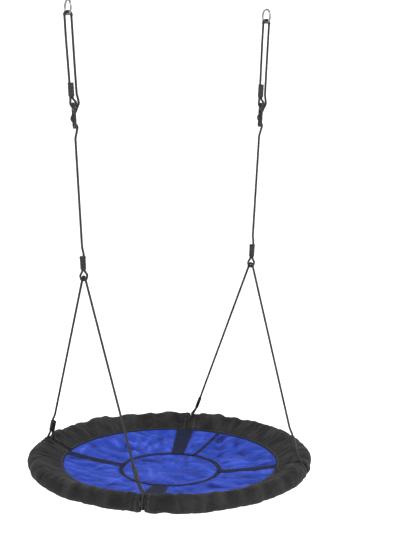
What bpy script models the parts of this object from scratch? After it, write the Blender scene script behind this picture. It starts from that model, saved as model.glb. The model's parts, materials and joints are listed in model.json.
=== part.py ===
"""Nest swing: a padded ring with a cloth mat, hung on two rope hangers from two steel rings.

The origin is midway between the centres of the two hook rings. +X runs along the hang line to the
right-hand hanger, +Y to the back and +Z up. Lengths are in metres and angles in degrees.
"""

import math

import bmesh
import bpy
from mathutils import Matrix, Vector

MM = 0.001
FIT = 0.3 * MM  # gap between pieces that touch
SIDES = ("left", -1), ("right", 1)

# Where things hang.
HANG_HALF = 380 * MM  # from the middle out to each hook ring
PIVOT_HALF = 331 * MM  # from the middle out to each leg rope's pivot
PIVOT_DROP = 890 * MM  # from the hook rings down to the leg ropes' pivots
SEAT_DROP = 1560 * MM  # from the hook rings down to the seat ring's centreline
LEG_ANGLE = 48.5  # from the X axis round to each leg rope's place on the seat ring
SEAT_TURN = 2.5  # how far the seat hangs turned about Z, anticlockwise from above

# Rope and ferrules.
ROPE_RADIUS = 4 * MM
STRAND = ROPE_RADIUS + FIT / 2  # half the spacing of two strands side by side
FERRULE_LENGTH = 45 * MM
FERRULE_WALL = 1.9 * MM
ROPE_END = 4 * MM  # how far inside its ferrule a rope's cut end stops

# Hook rings and the wear sleeves that the ropes run through.
HOOK_RING_RADIUS = 23.5 * MM  # to the middle of the wire
HOOK_WIRE = 3.5 * MM  # the wire's radius
SLEEVE_ROOM = 1 * MM  # between the rope and a sleeve's bore, which the bend takes up
SLEEVE_WALL = 0.9 * MM
SLEEVE_RADIUS = ROPE_RADIUS + SLEEVE_ROOM + SLEEVE_WALL
BIGHT_ROOM = 2.6 * MM  # from the hook ring's wire to the sleeve, on each side
BIGHT_RADIUS = HOOK_WIRE + BIGHT_ROOM + SLEEVE_RADIUS
BIGHT_DROP = HOOK_RING_RADIUS - HOOK_WIRE - FIT + BIGHT_RADIUS - SLEEVE_RADIUS

# The eye at the foot of each hanger, and the leg rope's bend over it.
EYE_NECK = 23 * MM  # from an eye's centre up to its ferrule
FLARE = 7 * MM  # strands run straight this far out of a ferrule before they spread
MERGE = 30 * MM  # past a ferrule, a single strand is back on the rope's line by here
PIVOT_PLAY = 3 * MM  # how far the leg rope can slide sideways in the eye
EYE_SLEEVE_WALL = 0.8 * MM
EYE_SLEEVE_RADIUS = ROPE_RADIUS + SLEEVE_ROOM + EYE_SLEEVE_WALL
EYE_RADIUS = EYE_SLEEVE_RADIUS + ROPE_RADIUS + PIVOT_PLAY
LEG_BEND = EYE_RADIUS - 1 * MM  # the leg rope's bend radius, 1 mm under the eye's centre
EYE_SLEEVE_SPREAD = 50  # how far the sleeve reaches each way round the eye

# The height adjuster: a plate with three slots that the rope is laced through.
ADJUSTER_DROP = 291 * MM  # from the rope's top bend down to the foot of the eye on the top bar
PLATE_THICK = 8 * MM
PLATE_WIDTH = 20 * MM
PLATE_BAR = 8 * MM  # between the slots, and at the foot
TOP_BAR = 7.4 * MM
SLOT_ROOM = 0.7 * MM  # beside the rope in each slot
LACE_ROOM = 13.4 * MM  # what the two laced slots are taller than the rope by
LACE_CLEAR = 2 * MM  # between the plate and the rope that swings round it
TOP_EYE_CLEAR = 1 * MM
SLOT_WIDTH = 2 * (ROPE_RADIUS + SLOT_ROOM)
LACE_SLOT = 2 * ROPE_RADIUS + LACE_ROOM
LACE = PLATE_THICK / 2 + ROPE_RADIUS + LACE_CLEAR  # how far the lacing swings off the plate's middle
TOP_EYE_RADIUS = math.hypot(TOP_BAR / 2, PLATE_THICK / 2) + TOP_EYE_CLEAR + ROPE_RADIUS
TOP_SLOT = TOP_EYE_RADIUS + ROPE_RADIUS + SLOT_ROOM - TOP_BAR / 2
RUN_CLEAR = TOP_EYE_RADIUS + 2 * ROPE_RADIUS + 1 * MM  # the running strand beside the top eye
TOP_FERRULE_SHIFT = -5 * MM  # the top ferrule sits a little to the left of the plate

# Seat ring: steel tube in quarters, foam sleeves and cloth covers.
SEAT_RADIUS = 500 * MM  # to the outside of the covers
COVER_RADIUS = 30 * MM
COVER_WALL = 2.5 * MM
RING_RADIUS = SEAT_RADIUS - COVER_RADIUS  # to the tube's centreline
TUBE_RADIUS = 14 * MM
TUBE_WALL = 1.8 * MM
TUBE_SIDES = 8
TUBE_STEP = 9
JOINER_FIT = 0.4 * MM
SCREW_PLACE = 22 * MM  # from a tube joint along to its screws
SCREW_RADIUS = 2.1 * MM
SCREW_HEAD_RADIUS = 4.5 * MM
SCREW_HEAD = 1.4 * MM
SCREW_LENGTH = 8 * MM
HOLE_DEPTH = 12 * MM  # of the holes' cutters, which go through one wall of tube and joiner
ROPE_GAP = 20 * MM  # the gap between foam and cover ends that a leg rope goes through
FOAM_PLAY = 1 * MM  # between foam and cover
COVER_STEP = 9
LOOP_ROOM = 1.7 * MM  # between the tube and the rope round it
LOOP_RISE = 74 * MM  # from the tube's centre up the leg to its ferrule

# Mat and webbing.
MAT_RADIUS = 380 * MM
MAT_THICK = 3 * MM
MAT_SAG = 40 * MM
MAT_GAP = 2.2 * MM  # the seam between mat and cover
SEAM_DEPTH = 6 * MM  # height of the cover's edge at the seam
MAT_EDGE_DROP = 12 * MM  # from the ring's centreline down to the top of the mat's edge
WEB_THICK = 1.2 * MM
WEB_LIFT = 1 * MM
WEB_RING_RADIUS = 176 * MM
WEB_RING_WIDTH = 16 * MM
SPOKES = (
    # name, direction, width at the webbing circle, width at the mat's edge
    ("webbing_left", 138, 34 * MM, 40 * MM),
    ("webbing_back_broad", 52.5, 46 * MM, 66 * MM),
    ("webbing_back_right", 32, 13 * MM, 13 * MM),
    ("webbing_right", -38, 32 * MM, 36 * MM),
    ("webbing_front_broad", -129, 56 * MM, 78 * MM),
)
TAPE_WIDTH = 25 * MM
TAPE_THICK = 1.5 * MM
TAPE_INSET = 14 * MM  # from the mat's seam out to the touch-fastener tape


# ---------------------------------------------------------------- scene and materials


def clear_scene():
    for obj in list(bpy.data.objects):
        bpy.data.objects.remove(obj, do_unlink=True)


def collection(name, helper=False):
    made = bpy.data.collections.new(name)
    bpy.context.scene.collection.children.link(made)
    made.hide_render = helper
    return made


def material(name, colour, roughness, metallic=0.0):
    made = bpy.data.materials.new(name)
    made.use_nodes = True
    shader = made.node_tree.nodes["Principled BSDF"]
    shader.inputs["Base Color"].default_value = (*colour, 1.0)
    shader.inputs["Roughness"].default_value = roughness
    shader.inputs["Metallic"].default_value = metallic
    made.diffuse_color = (*colour, 1.0)
    return made


def axis_empty(name, place, turn=0.0, parent=None):
    """An empty on a joint's axis, turned about Y."""
    empty = bpy.data.objects.new(name, None)
    PARTS.objects.link(empty)
    empty.empty_display_size = 50 * MM
    place_under(empty, parent, Matrix.Translation(place) @ Matrix.Rotation(turn, 4, "Y"))
    return empty


def place_under(obj, parent, matrix):
    """Puts an object at a world matrix, under a parent."""
    if parent is not None:
        obj.parent = parent
        obj.matrix_parent_inverse = WORLD_OF[parent.name].inverted()
    obj.matrix_basis = matrix
    WORLD_OF[obj.name] = matrix.copy()


def add(name, data, finish, parent, matrix=None):
    obj = bpy.data.objects.new(name, data)
    PARTS.objects.link(obj)
    data.materials.append(finish)
    place_under(obj, parent, Matrix() if matrix is None else matrix)
    return obj


# ---------------------------------------------------------------- shapes


def circle_points(centre, radius, start, end, count):
    """Points round an arc in a plane, from start to end in radians, both ends included."""
    turns = [start + (end - start) * i / (count - 1) for i in range(count)]
    return [(centre[0] + radius * math.cos(t), centre[1] + radius * math.sin(t)) for t in turns]


def softened(points):
    """The route with each sharp corner drawn as a short curve that starts FLARE before it."""
    route = [points[0]]
    for before, here, after in zip(points, points[1:], points[2:]):
        to_here, from_here = here - before, after - here
        if to_here.angle(from_here) < math.radians(28):
            route.append(here)
            continue
        cut = min(0.8 * FLARE, 0.45 * to_here.length, 0.45 * from_here.length)
        start = here - to_here.normalized() * cut
        end = here + from_here.normalized() * cut
        middle = (start + 2 * here + end) / 4
        route += [start, middle, end]
    return route + [points[-1]]


def rope(name, points, parent):
    """A rope along a route in world space, on a curve of straight pieces."""
    curve = bpy.data.curves.new(name, "CURVE")
    curve.dimensions = "3D"
    curve.bevel_depth = ROPE_RADIUS
    curve.bevel_resolution = 2
    curve.use_fill_caps = True
    spline = curve.splines.new("POLY")
    spline.points.add(len(points) - 1)
    for knot, point in zip(spline.points, points):
        knot.co = (*point, 1.0)
    return add(name, curve, ROPE, parent)


def flat_solid(name, outlines, thickness, finish, parent, matrix):
    """A solid from flat outlines, the first outside and the others its holes, thick along local Z."""
    curve = bpy.data.curves.new(name, "CURVE")
    curve.dimensions = "2D"
    curve.fill_mode = "BOTH"
    curve.extrude = thickness / 2
    for outline in outlines:
        spline = curve.splines.new("POLY")
        spline.points.add(len(outline) - 1)
        spline.use_cyclic_u = True
        for knot, point in zip(spline.points, outline):
            knot.co = (*point, 0.0, 1.0)
    return add(name, curve, finish, parent, matrix)


def stadium(half_width, half_height, centre=(0, 0), steps=5):
    """A slot's outline, round at the ends of its longer direction."""
    radius = min(half_width, half_height)
    if half_width > half_height:
        ends = ((half_width - radius, 0, -90), (radius - half_width, 0, 90))
    else:
        ends = ((0, half_height - radius, 0), (0, radius - half_height, 180))
    outline = []
    for x, y, start in ends:
        middle = (centre[0] + x, centre[1] + y)
        first = math.radians(start)
        outline += circle_points(middle, radius, first, first + math.pi, steps)
    return outline


def swept_shell(name, profile, sweep, steps, wall, finish, parent, matrix, closed=True):
    """A profile in local XZ turned about local Z by sweep degrees, with a wall inside it."""
    mesh = bpy.data.meshes.new(name)
    count = len(profile)
    edges = [(i, (i + 1) % count) for i in range(count if closed else count - 1)]
    mesh.from_pydata([(x, 0.0, z) for x, z in profile], edges, [])
    obj = add(name, mesh, finish, parent, matrix)
    screw = obj.modifiers.new("turn", "SCREW")
    screw.angle = math.radians(sweep)
    screw.steps = steps
    screw.render_steps = steps
    screw.use_merge_vertices = sweep == 360
    screw.merge_threshold = 1e-5
    screw.use_smooth_shade = True
    solidify = obj.modifiers.new("wall", "SOLIDIFY")
    solidify.thickness = wall
    solidify.offset = -1
    solidify.use_even_offset = True
    return obj


def round_profile(centre_x, radius, sides):
    """A tube's section, clockwise so that its outer side runs downwards, with a flat underneath."""
    turns = [-2 * math.pi * (i + 0.5) / sides + math.pi / 2 for i in range(sides)]
    return [(centre_x + radius * math.cos(t), radius * math.sin(t)) for t in turns]


def turned_solid(name, profile, sides, finish, parent, matrix):
    """A profile of (radius, height), top to bottom with both ends on the axis, turned about Z."""
    mesh = bpy.data.meshes.new(name)
    edges = [(i, i + 1) for i in range(len(profile) - 1)]
    mesh.from_pydata([(x, 0.0, z) for x, z in profile], edges, [])
    obj = add(name, mesh, finish, parent, matrix)
    screw = obj.modifiers.new("turn", "SCREW")
    screw.steps = sides
    screw.render_steps = sides
    screw.use_merge_vertices = True
    screw.merge_threshold = 1e-5
    return obj


def cutter(name, radius, length, matrix):
    shape = bmesh.new()
    bmesh.ops.create_cone(
        shape, cap_ends=True, segments=8, radius1=radius, radius2=radius, depth=length
    )
    mesh = bpy.data.meshes.new(name)
    shape.to_mesh(mesh)
    shape.free()
    obj = bpy.data.objects.new(name, mesh)
    CUTTERS.objects.link(obj)
    obj.matrix_basis = matrix
    obj.hide_render = True
    obj.display_type = "WIRE"
    return obj


def cut(obj, tool):
    boolean = obj.modifiers.new("cut", "BOOLEAN")
    boolean.operation = "DIFFERENCE"
    boolean.solver = "EXACT"
    boolean.object = tool


def flat_of(radius):
    """How far a tube's flats are from its centre."""
    return radius * math.cos(math.pi / TUBE_SIDES)


# ---------------------------------------------------------------- hook rings


def hook_rings():
    for side, sign in SIDES:
        bpy.ops.mesh.primitive_torus_add(
            major_radius=HOOK_RING_RADIUS,
            minor_radius=HOOK_WIRE,
            major_segments=20,
            minor_segments=8,
        )
        obj = bpy.context.object
        for owner in list(obj.users_collection):
            owner.objects.unlink(obj)
        PARTS.objects.link(obj)
        obj.name = "hook_ring_" + side
        obj.data.materials.append(ZINC)
        obj.data.shade_smooth()
        middle = Matrix.Translation((sign * HANG_HALF, 0, 0))
        place_under(obj, None, middle @ Matrix.Rotation(math.pi / 2, 4, "Y"))


def hook_sleeves(swing):
    """A bent tube over each hook ring's wire, which the hanger's rope runs through."""
    for side, sign in SIDES:
        middle = Matrix.Translation((sign * HANG_HALF, 0, -BIGHT_DROP))
        upright = middle @ Matrix.Rotation(math.pi / 2, 4, "X")
        profile = round_profile(BIGHT_RADIUS, SLEEVE_RADIUS, 10)
        swept_shell(
            "hook_sleeve_" + side, profile, 180, 8, SLEEVE_WALL, SLEEVE, swing, upright
        )


# ---------------------------------------------------------------- hangers


def hanger_frame(sign):
    """The hanger's own frame: origin at its top bend, local Z up its line from the pivot."""
    drop = PIVOT_DROP - BIGHT_DROP
    lean = math.atan2(sign * (HANG_HALF - PIVOT_HALF), drop)
    length = math.hypot(HANG_HALF - PIVOT_HALF, drop)
    top = Vector((sign * HANG_HALF, 0, -BIGHT_DROP))
    return Matrix.Translation(top) @ Matrix.Rotation(lean, 4, "Y"), lean, length


def eye_points(centre, radius, left_strand, right_strand):
    """A rope eye from its left strand, down round its foot and up to its right strand."""
    ends = []
    for strand, turn in ((left_strand, 1), (right_strand, -1)):
        x, z = strand[0] - centre[0], strand[1] - centre[1]
        ends.append(math.atan2(z, x) + turn * math.acos(radius / math.hypot(x, z)))
    return circle_points(centre, radius, ends[0], ends[1] + 2 * math.pi, 13)


def slot_heights():
    """The middles of the plate's top slot and of the two that the rope is laced through."""
    eye_middle = -ADJUSTER_DROP + TOP_EYE_RADIUS
    top = eye_middle - (TOP_BAR + TOP_SLOT) / 2
    upper = top - TOP_SLOT / 2 - PLATE_BAR - LACE_SLOT / 2
    lower = upper - PLATE_BAR - LACE_SLOT
    return top, upper, lower


def hanger_route(length):
    """The hanger rope's route in its own frame, from its cut end at the foot to the other at the top."""
    eye_middle = EYE_RADIUS - length
    foot = eye_middle + EYE_NECK
    head = foot + FERRULE_LENGTH
    _, upper, lower = slot_heights()
    pitch = upper - lower
    top_eye = (0, -ADJUSTER_DROP + TOP_EYE_RADIUS)
    top_foot = top_eye[1] + EYE_NECK
    top_head = top_foot + FERRULE_LENGTH
    left, right = TOP_FERRULE_SHIFT - STRAND, TOP_FERRULE_SHIFT + STRAND
    spread = foot - FLARE
    route = [(-STRAND, head - ROPE_END), (-STRAND, spread)]
    route += eye_points((0, eye_middle), EYE_RADIUS, (-STRAND, spread), (STRAND, spread))
    route += [(STRAND, spread), (STRAND, head + FLARE)]
    route += [(0, head + MERGE), (0, lower - 1.7 * pitch)]
    for step in range(-4, 13):
        height = lower + pitch * step / 8
        route.append((-LACE * math.sin(math.pi * step / 8), height))
    route += [
        (RUN_CLEAR, top_eye[1] - 2 * MM),
        (RUN_CLEAR, top_eye[1] + 6 * MM),
        (BIGHT_RADIUS + 2 * MM, top_foot + 8 * MM),
        (BIGHT_RADIUS + 1 * MM, top_head + 40 * MM),
    ]
    route += circle_points((0, 0), BIGHT_RADIUS, 0, math.pi, 10)
    spread = top_foot - FLARE
    route += [(-BIGHT_RADIUS, -60 * MM), (left, top_head + FLARE), (left, spread)]
    route += eye_points(top_eye, TOP_EYE_RADIUS, (left, spread), (right, spread))
    route += [(right, spread), (right, top_head - ROPE_END)]
    return route


def ferrule(name, parent, matrix):
    """A pressed sleeve over two strands; local Z runs along them and local X across both."""
    half_x = STRAND + ROPE_RADIUS + 1.5 * FIT
    half_y = ROPE_RADIUS + 1.5 * FIT
    outside = stadium(half_x + FERRULE_WALL, half_y + FERRULE_WALL)
    inside = stadium(half_x, half_y)
    flat_solid(name, (outside, inside), FERRULE_LENGTH, FERRULE, parent, matrix)


def adjuster_plate(name, parent, frame):
    top, upper, lower = slot_heights()
    head = top + TOP_SLOT / 2 + TOP_BAR
    foot = lower - LACE_SLOT / 2 - PLATE_BAR
    half, corner = PLATE_WIDTH / 2, 6 * MM
    outline = []
    corners = ((half, head, 0), (-half, head, 90), (-half, foot, 180), (half, foot, 270))
    for y, z, start in corners:
        middle = (math.copysign(half - corner, y), z + (corner if z == foot else -corner))
        first = math.radians(start)
        outline += circle_points(middle, corner, first, first + math.pi / 2, 4)
    slots = [stadium(SLOT_WIDTH / 2, TOP_SLOT / 2, (0, top))]
    slots += [stadium(SLOT_WIDTH / 2, LACE_SLOT / 2, (0, middle)) for middle in (upper, lower)]
    across = Matrix.Rotation(math.pi / 2, 4, "Z") @ Matrix.Rotation(math.pi / 2, 4, "X")
    flat_solid(name, [outline, *slots], PLATE_THICK, PLATE, parent, frame @ across)


def hangers(swing):
    """Both hangers; returns each one's empty, its frame and its length."""
    made = {}
    for side, sign in SIDES:
        frame, lean, length = hanger_frame(sign)
        empty = axis_empty("sway_" + side, frame.translation, lean, swing)
        points = [frame @ Vector((x, 0, z)) for x, z in hanger_route(length)]
        rope("hanger_rope_" + side, softened(points), empty)
        adjuster_plate("height_adjuster_" + side, empty, frame)
        foot = EYE_RADIUS - length + EYE_NECK + FERRULE_LENGTH / 2
        ferrule("foot_ferrule_" + side, empty, frame @ Matrix.Translation((0, 0, foot)))
        top = -ADJUSTER_DROP + TOP_EYE_RADIUS + EYE_NECK + FERRULE_LENGTH / 2
        middle = Matrix.Translation((TOP_FERRULE_SHIFT, 0, top))
        ferrule("top_ferrule_" + side, empty, frame @ middle)
        made[side] = (empty, frame, length)
    return made


def eye_sleeve(side, parent, frame, length):
    """A bent tube round the foot of the hanger's eye, which the leg rope bears on."""
    middle = frame @ Matrix.Translation((0, 0, EYE_RADIUS - length))
    upright = middle @ Matrix.Rotation(math.pi / 2, 4, "X")
    first = math.radians(-90 - EYE_SLEEVE_SPREAD)
    profile = round_profile(EYE_RADIUS, EYE_SLEEVE_RADIUS, 10)
    swept_shell(
        "eye_sleeve_" + side,
        profile,
        2 * EYE_SLEEVE_SPREAD,
        5,
        EYE_SLEEVE_WALL,
        SLEEVE,
        parent,
        upright @ Matrix.Rotation(first, 4, "Z"),
    )


# ---------------------------------------------------------------- leg ropes


def leg_directions(sign, way):
    """One leg's end on the seat ring, its pivot, the way down to the ring, and its straight line."""
    angle = math.radians(LEG_ANGLE)
    straight = Vector((sign * math.cos(angle), way * math.sin(angle), 0))
    outward = Matrix.Rotation(math.radians(SEAT_TURN), 3, "Z") @ straight
    on_ring = outward * RING_RADIUS + Vector((0, 0, -SEAT_DROP))
    pivot = Vector((sign * PIVOT_HALF, 0, -PIVOT_DROP))
    down = Vector((straight.x * RING_RADIUS - pivot.x, 0, on_ring.z - pivot.z)).normalized()
    reach = on_ring - pivot
    turn = reach.angle(down) + math.acos(LEG_BEND / reach.length)
    leaves = pivot + LEG_BEND * (math.cos(turn) * down + way * math.sin(turn) * Vector((0, 1, 0)))
    return outward, on_ring, pivot, down, turn, (leaves - on_ring).normalized()


def leg_end(sign, way):
    """One leg from its cut end, round the tube and up to where it joins the straight line."""
    outward, on_ring, _, _, _, line = leg_directions(sign, way)
    across = (outward - outward.dot(line) * line).normalized()
    loop = TUBE_RADIUS + ROPE_RADIUS + LOOP_ROOM
    spread = LOOP_RISE - FLARE
    lean = math.atan2(line.z, line.dot(outward))
    open_angle = math.acos((loop - STRAND) / spread)
    upright = math.sqrt(COVER_RADIUS**2 - loop**2)
    points = [on_ring + line * (LOOP_RISE + FERRULE_LENGTH - ROPE_END) - across * STRAND]
    points.append(on_ring + line * spread - across * STRAND)
    first, last = lean + open_angle, lean - open_angle + 2 * math.pi
    ring = circle_points((0, 0), loop, first, last, 13)
    before = (ring[0][0] + upright * math.sin(first), ring[0][1] - upright * math.cos(first))
    after = (ring[-1][0] - upright * math.sin(last), ring[-1][1] + upright * math.cos(last))
    for x, z in [before, *ring, after]:
        points.append(on_ring + outward * x + Vector((0, 0, z)))
    points.append(on_ring + line * spread + across * STRAND)
    points.append(on_ring + line * (LOOP_RISE + FERRULE_LENGTH + FLARE) + across * STRAND)
    points.append(on_ring + line * (LOOP_RISE + FERRULE_LENGTH + MERGE))
    return points


def leg_ropes(seat):
    for side, sign in SIDES:
        _, _, pivot, down, back_turn, _ = leg_directions(sign, 1)
        front_turn = leg_directions(sign, -1)[4]
        bend = []
        for x, z in circle_points((0, 0), LEG_BEND, front_turn - math.pi, math.pi - back_turn, 9):
            bend.append(pivot - down * x + Vector((0, z, 0)))
        route = leg_end(sign, -1) + bend + list(reversed(leg_end(sign, 1)))
        rope("leg_rope_" + side, softened(route), seat)
        for end, way in (("front", -1), ("back", 1)):
            outward, on_ring, _, _, _, line = leg_directions(sign, way)
            across = (outward - outward.dot(line) * line).normalized()
            middle = on_ring + line * (LOOP_RISE + FERRULE_LENGTH / 2)
            turned = Matrix((across, line.cross(across), line)).transposed().to_4x4()
            name = f"leg_ferrule_{end}_{side}"
            ferrule(name, seat, Matrix.Translation(middle) @ turned)


# ---------------------------------------------------------------- seat ring


def on_seat(turn=0.0):
    """The seat ring's centre, turned about Z by an angle in degrees."""
    middle = Matrix.Translation((0, 0, -SEAT_DROP))
    return middle @ Matrix.Rotation(math.radians(turn), 4, "Z")


def tube_wall_inside(radius, wall):
    """A tube's inner radius where its wall is measured square to its flats."""
    return radius - wall / math.cos(math.pi / TUBE_SIDES)


def frame_tubes(seat):
    """Four quarter tubes, the joiners inside their joints, and two screws at each joint."""
    shy = math.degrees(FIT / RING_RADIUS)
    quarters = ("back_right", "back_left", "front_left", "front_right")
    profile = round_profile(RING_RADIUS, TUBE_RADIUS, TUBE_SIDES)
    tubes = []
    for index, place in enumerate(quarters):
        tubes.append(
            swept_shell(
                "ring_tube_" + place,
                profile,
                90 - 2 * shy,
                round(90 / TUBE_STEP),
                TUBE_WALL,
                STEEL,
                seat,
                on_seat(90 * index + shy),
            )
        )
    inner = tube_wall_inside(TUBE_RADIUS, TUBE_WALL) - JOINER_FIT
    profile = round_profile(RING_RADIUS, inner, TUBE_SIDES)
    screw_turn = math.degrees(SCREW_PLACE / RING_RADIUS)
    for index, place in enumerate(("right", "back", "left", "front")):
        turn = 90 * index
        joiner = swept_shell(
            "ring_joiner_" + place,
            profile,
            2 * TUBE_STEP,
            2,
            TUBE_WALL,
            STEEL,
            seat,
            on_seat(turn - TUBE_STEP),
        )
        for half, step in (("a", -1), ("b", 1)):
            spot = on_seat(turn + step * screw_turn) @ Matrix.Translation((RING_RADIUS, 0, 0))
            ring_screw(f"ring_screw_{place}_{half}", seat, spot)
            through = spot @ Matrix.Translation((0, 0, -TUBE_RADIUS))
            tool = cutter(f"screw_hole_{place}_{half}", SCREW_RADIUS + FIT, HOLE_DEPTH, through)
            cut(joiner, tool)
            cut(tubes[(index + (0 if step > 0 else -1)) % 4], tool)


def ring_screw(name, seat, spot):
    """A low-headed screw, put in from below; its head bears on the tube's flat."""
    bearing = -flat_of(TUBE_RADIUS) - FIT
    tip = bearing + SCREW_LENGTH
    foot = bearing - SCREW_HEAD
    profile = [(0, tip), (SCREW_RADIUS, tip), (SCREW_RADIUS, bearing)]
    profile += [(SCREW_HEAD_RADIUS, bearing), (SCREW_HEAD_RADIUS, foot), (0, foot)]
    turned_solid(name, profile, 8, ZINC, seat, spot)


def cover_profile():
    """The cover's section: round the foam, then drawn in to the mat's seam."""
    seam = MAT_RADIUS + MAT_GAP - RING_RADIUS
    high = -MAT_EDGE_DROP + 1 * MM
    low = high - SEAM_DEPTH
    leaves = math.atan2(high, seam) - math.acos(COVER_RADIUS / math.hypot(seam, high))
    meets = math.atan2(low, seam) + math.acos(COVER_RADIUS / math.hypot(seam, low))
    section = [(seam, high)]
    section += circle_points((0, 0), COVER_RADIUS, leaves + 2 * math.pi, meets, 12)
    section.append((seam, low))
    return [(RING_RADIUS + x, z) for x, z in section]


def under_cover(x):
    """Height of the cover's flat underside at so far outwards from the ring's centreline."""
    (seam, low), (meets, foot) = cover_profile()[-1], cover_profile()[-2]
    return low + (foot - low) * (x + RING_RADIUS - seam) / (meets - seam)


def soft_sections():
    """Each stretch of foam and cover between two leg ropes: name, start and sweep in degrees."""
    gap = math.degrees(ROPE_GAP / 2 / RING_RADIUS)
    wide, narrow = 2 * LEG_ANGLE - 2 * gap, 180 - 2 * LEG_ANGLE - 2 * gap
    return (
        ("right", SEAT_TURN - LEG_ANGLE + gap, wide),
        ("back", SEAT_TURN + LEG_ANGLE + gap, narrow),
        ("left", SEAT_TURN + 180 - LEG_ANGLE + gap, wide),
        ("front", SEAT_TURN + 180 + LEG_ANGLE + gap, narrow),
    )


def foam_and_covers(seat):
    head_room = flat_of(TUBE_RADIUS) + SCREW_HEAD + 3 * FIT
    foam_bore = head_room / math.cos(math.pi / TUBE_SIDES)
    foam_radius = COVER_RADIUS - COVER_WALL - FOAM_PLAY
    foam_wall = (foam_radius - foam_bore) * math.cos(math.pi / TUBE_SIDES)
    foam_section = round_profile(RING_RADIUS, foam_radius, TUBE_SIDES)
    section = cover_profile()
    tape_inside = MAT_RADIUS + MAT_GAP + TAPE_INSET
    tape = [
        (radius, under_cover(radius - RING_RADIUS) - 2 * FIT - TAPE_THICK)
        for radius in (tape_inside + TAPE_WIDTH, tape_inside)
    ]
    for name, start, sweep in soft_sections():
        steps = round(sweep / COVER_STEP)
        at = on_seat(start)
        swept_shell("foam_" + name, foam_section, sweep, steps, foam_wall, FOAM, seat, at)
        swept_shell("cover_" + name, section, sweep, steps, COVER_WALL, COVER, seat, at)
        swept_shell(
            "closure_tape_" + name, tape, sweep, steps, TAPE_THICK, TAPE, seat, at, closed=False
        )


# ---------------------------------------------------------------- mat and webbing


def mat_top(radius):
    """Height of the mat's upper face, from the ring's centreline."""
    return -MAT_EDGE_DROP - MAT_SAG * (1 - (radius / MAT_RADIUS) ** 2)


def mat(seat):
    rings = 5
    profile = [(MAT_RADIUS * i / rings, mat_top(MAT_RADIUS * i / rings)) for i in range(rings + 1)]
    swept_shell("mat", profile, 360, 40, MAT_THICK, MAT, seat, on_seat(), closed=False)


def webbing(seat):
    lift = WEB_LIFT + WEB_THICK
    inside, outside = (WEB_RING_RADIUS + way * WEB_RING_WIDTH / 2 for way in (-1, 1))
    profile = [(inside, mat_top(inside) + lift), (outside, mat_top(outside) + lift)]
    swept_shell("webbing_circle", profile, 360, 40, WEB_THICK, WEB, seat, on_seat(), closed=False)
    start, end, steps = outside + 1 * MM, MAT_RADIUS - 3 * MM, 4
    for name, turn, narrow, broad in SPOKES:
        strip = bmesh.new()
        for step in range(steps + 1):
            share = step / steps
            along = start + (end - start) * share
            half = (narrow + (broad - narrow) * share) / 2
            for way in (-1, 1):
                strip.verts.new((along, way * half, mat_top(math.hypot(along, half)) + lift))
        strip.verts.ensure_lookup_table()
        for step in range(steps):
            low_in, high_in, low_out, high_out = (strip.verts[2 * step + k] for k in range(4))
            strip.faces.new((low_in, low_out, high_out, high_in))
        mesh = bpy.data.meshes.new(name)
        strip.to_mesh(mesh)
        strip.free()
        obj = add(name, mesh, WEB, seat, on_seat(turn))
        solidify = obj.modifiers.new("wall", "SOLIDIFY")
        solidify.thickness = WEB_THICK
        solidify.offset = -1


# ---------------------------------------------------------------- assembly

clear_scene()
PARTS = collection("nest_swing")
CUTTERS = collection("cutters", helper=True)
WORLD_OF = {}
ZINC = material("bright_zinc_steel", (0.62, 0.63, 0.64), 0.32, 1.0)
STEEL = material("powder_coated_steel", (0.30, 0.31, 0.32), 0.45, 0.6)
ROPE = material("black_polypropylene_rope", (0.016, 0.016, 0.018), 0.62)
FERRULE = material("black_pressed_ferrule", (0.010, 0.010, 0.011), 0.38)
SLEEVE = material("black_nylon_sleeve", (0.012, 0.012, 0.013), 0.42)
PLATE = material("black_nylon_plate", (0.013, 0.013, 0.014), 0.45)
FOAM = material("charcoal_foam", (0.055, 0.055, 0.058), 0.95)
COVER = material("black_oxford_cloth", (0.028, 0.028, 0.030), 0.82)
MAT = material("blue_oxford_cloth", (0.045, 0.090, 0.520), 0.74)
WEB = material("navy_webbing", (0.016, 0.020, 0.050), 0.80)
TAPE = material("black_touch_fastener", (0.015, 0.015, 0.016), 0.92)

SWING = axis_empty("swing", (0, 0, 0))
hook_rings()
hook_sleeves(SWING)
HANGERS = hangers(SWING)
LEFT_EMPTY, LEFT_FRAME, LEFT_LENGTH = HANGERS["left"]
EYE = axis_empty(
    "eye_left", LEFT_FRAME @ Vector((0, 0, EYE_RADIUS - LEFT_LENGTH)), parent=LEFT_EMPTY
)
eye_sleeve("left", EYE, LEFT_FRAME, LEFT_LENGTH)
eye_sleeve("right", *HANGERS["right"])
SEAT = axis_empty("pitch", (0, 0, -PIVOT_DROP), parent=EYE)
leg_ropes(SEAT)
frame_tubes(SEAT)
foam_and_covers(SEAT)
mat(SEAT)
webbing(SEAT)
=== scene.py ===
"""The looks of a nest swing: creased cloth covers, a puckered blue mat, braided ropes and their fittings.

Everything is in metres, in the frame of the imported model: the origin is midway between the two hook
rings, +X runs along the hang line to the right, +Y to the back and +Z up. Angles are in degrees where a
name says so and in radians elsewhere.
"""

import json
import math
import random

import bmesh
import bpy
import numpy as np
from mathutils import Matrix, Vector, noise
from mathutils.bvhtree import BVHTree


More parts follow.
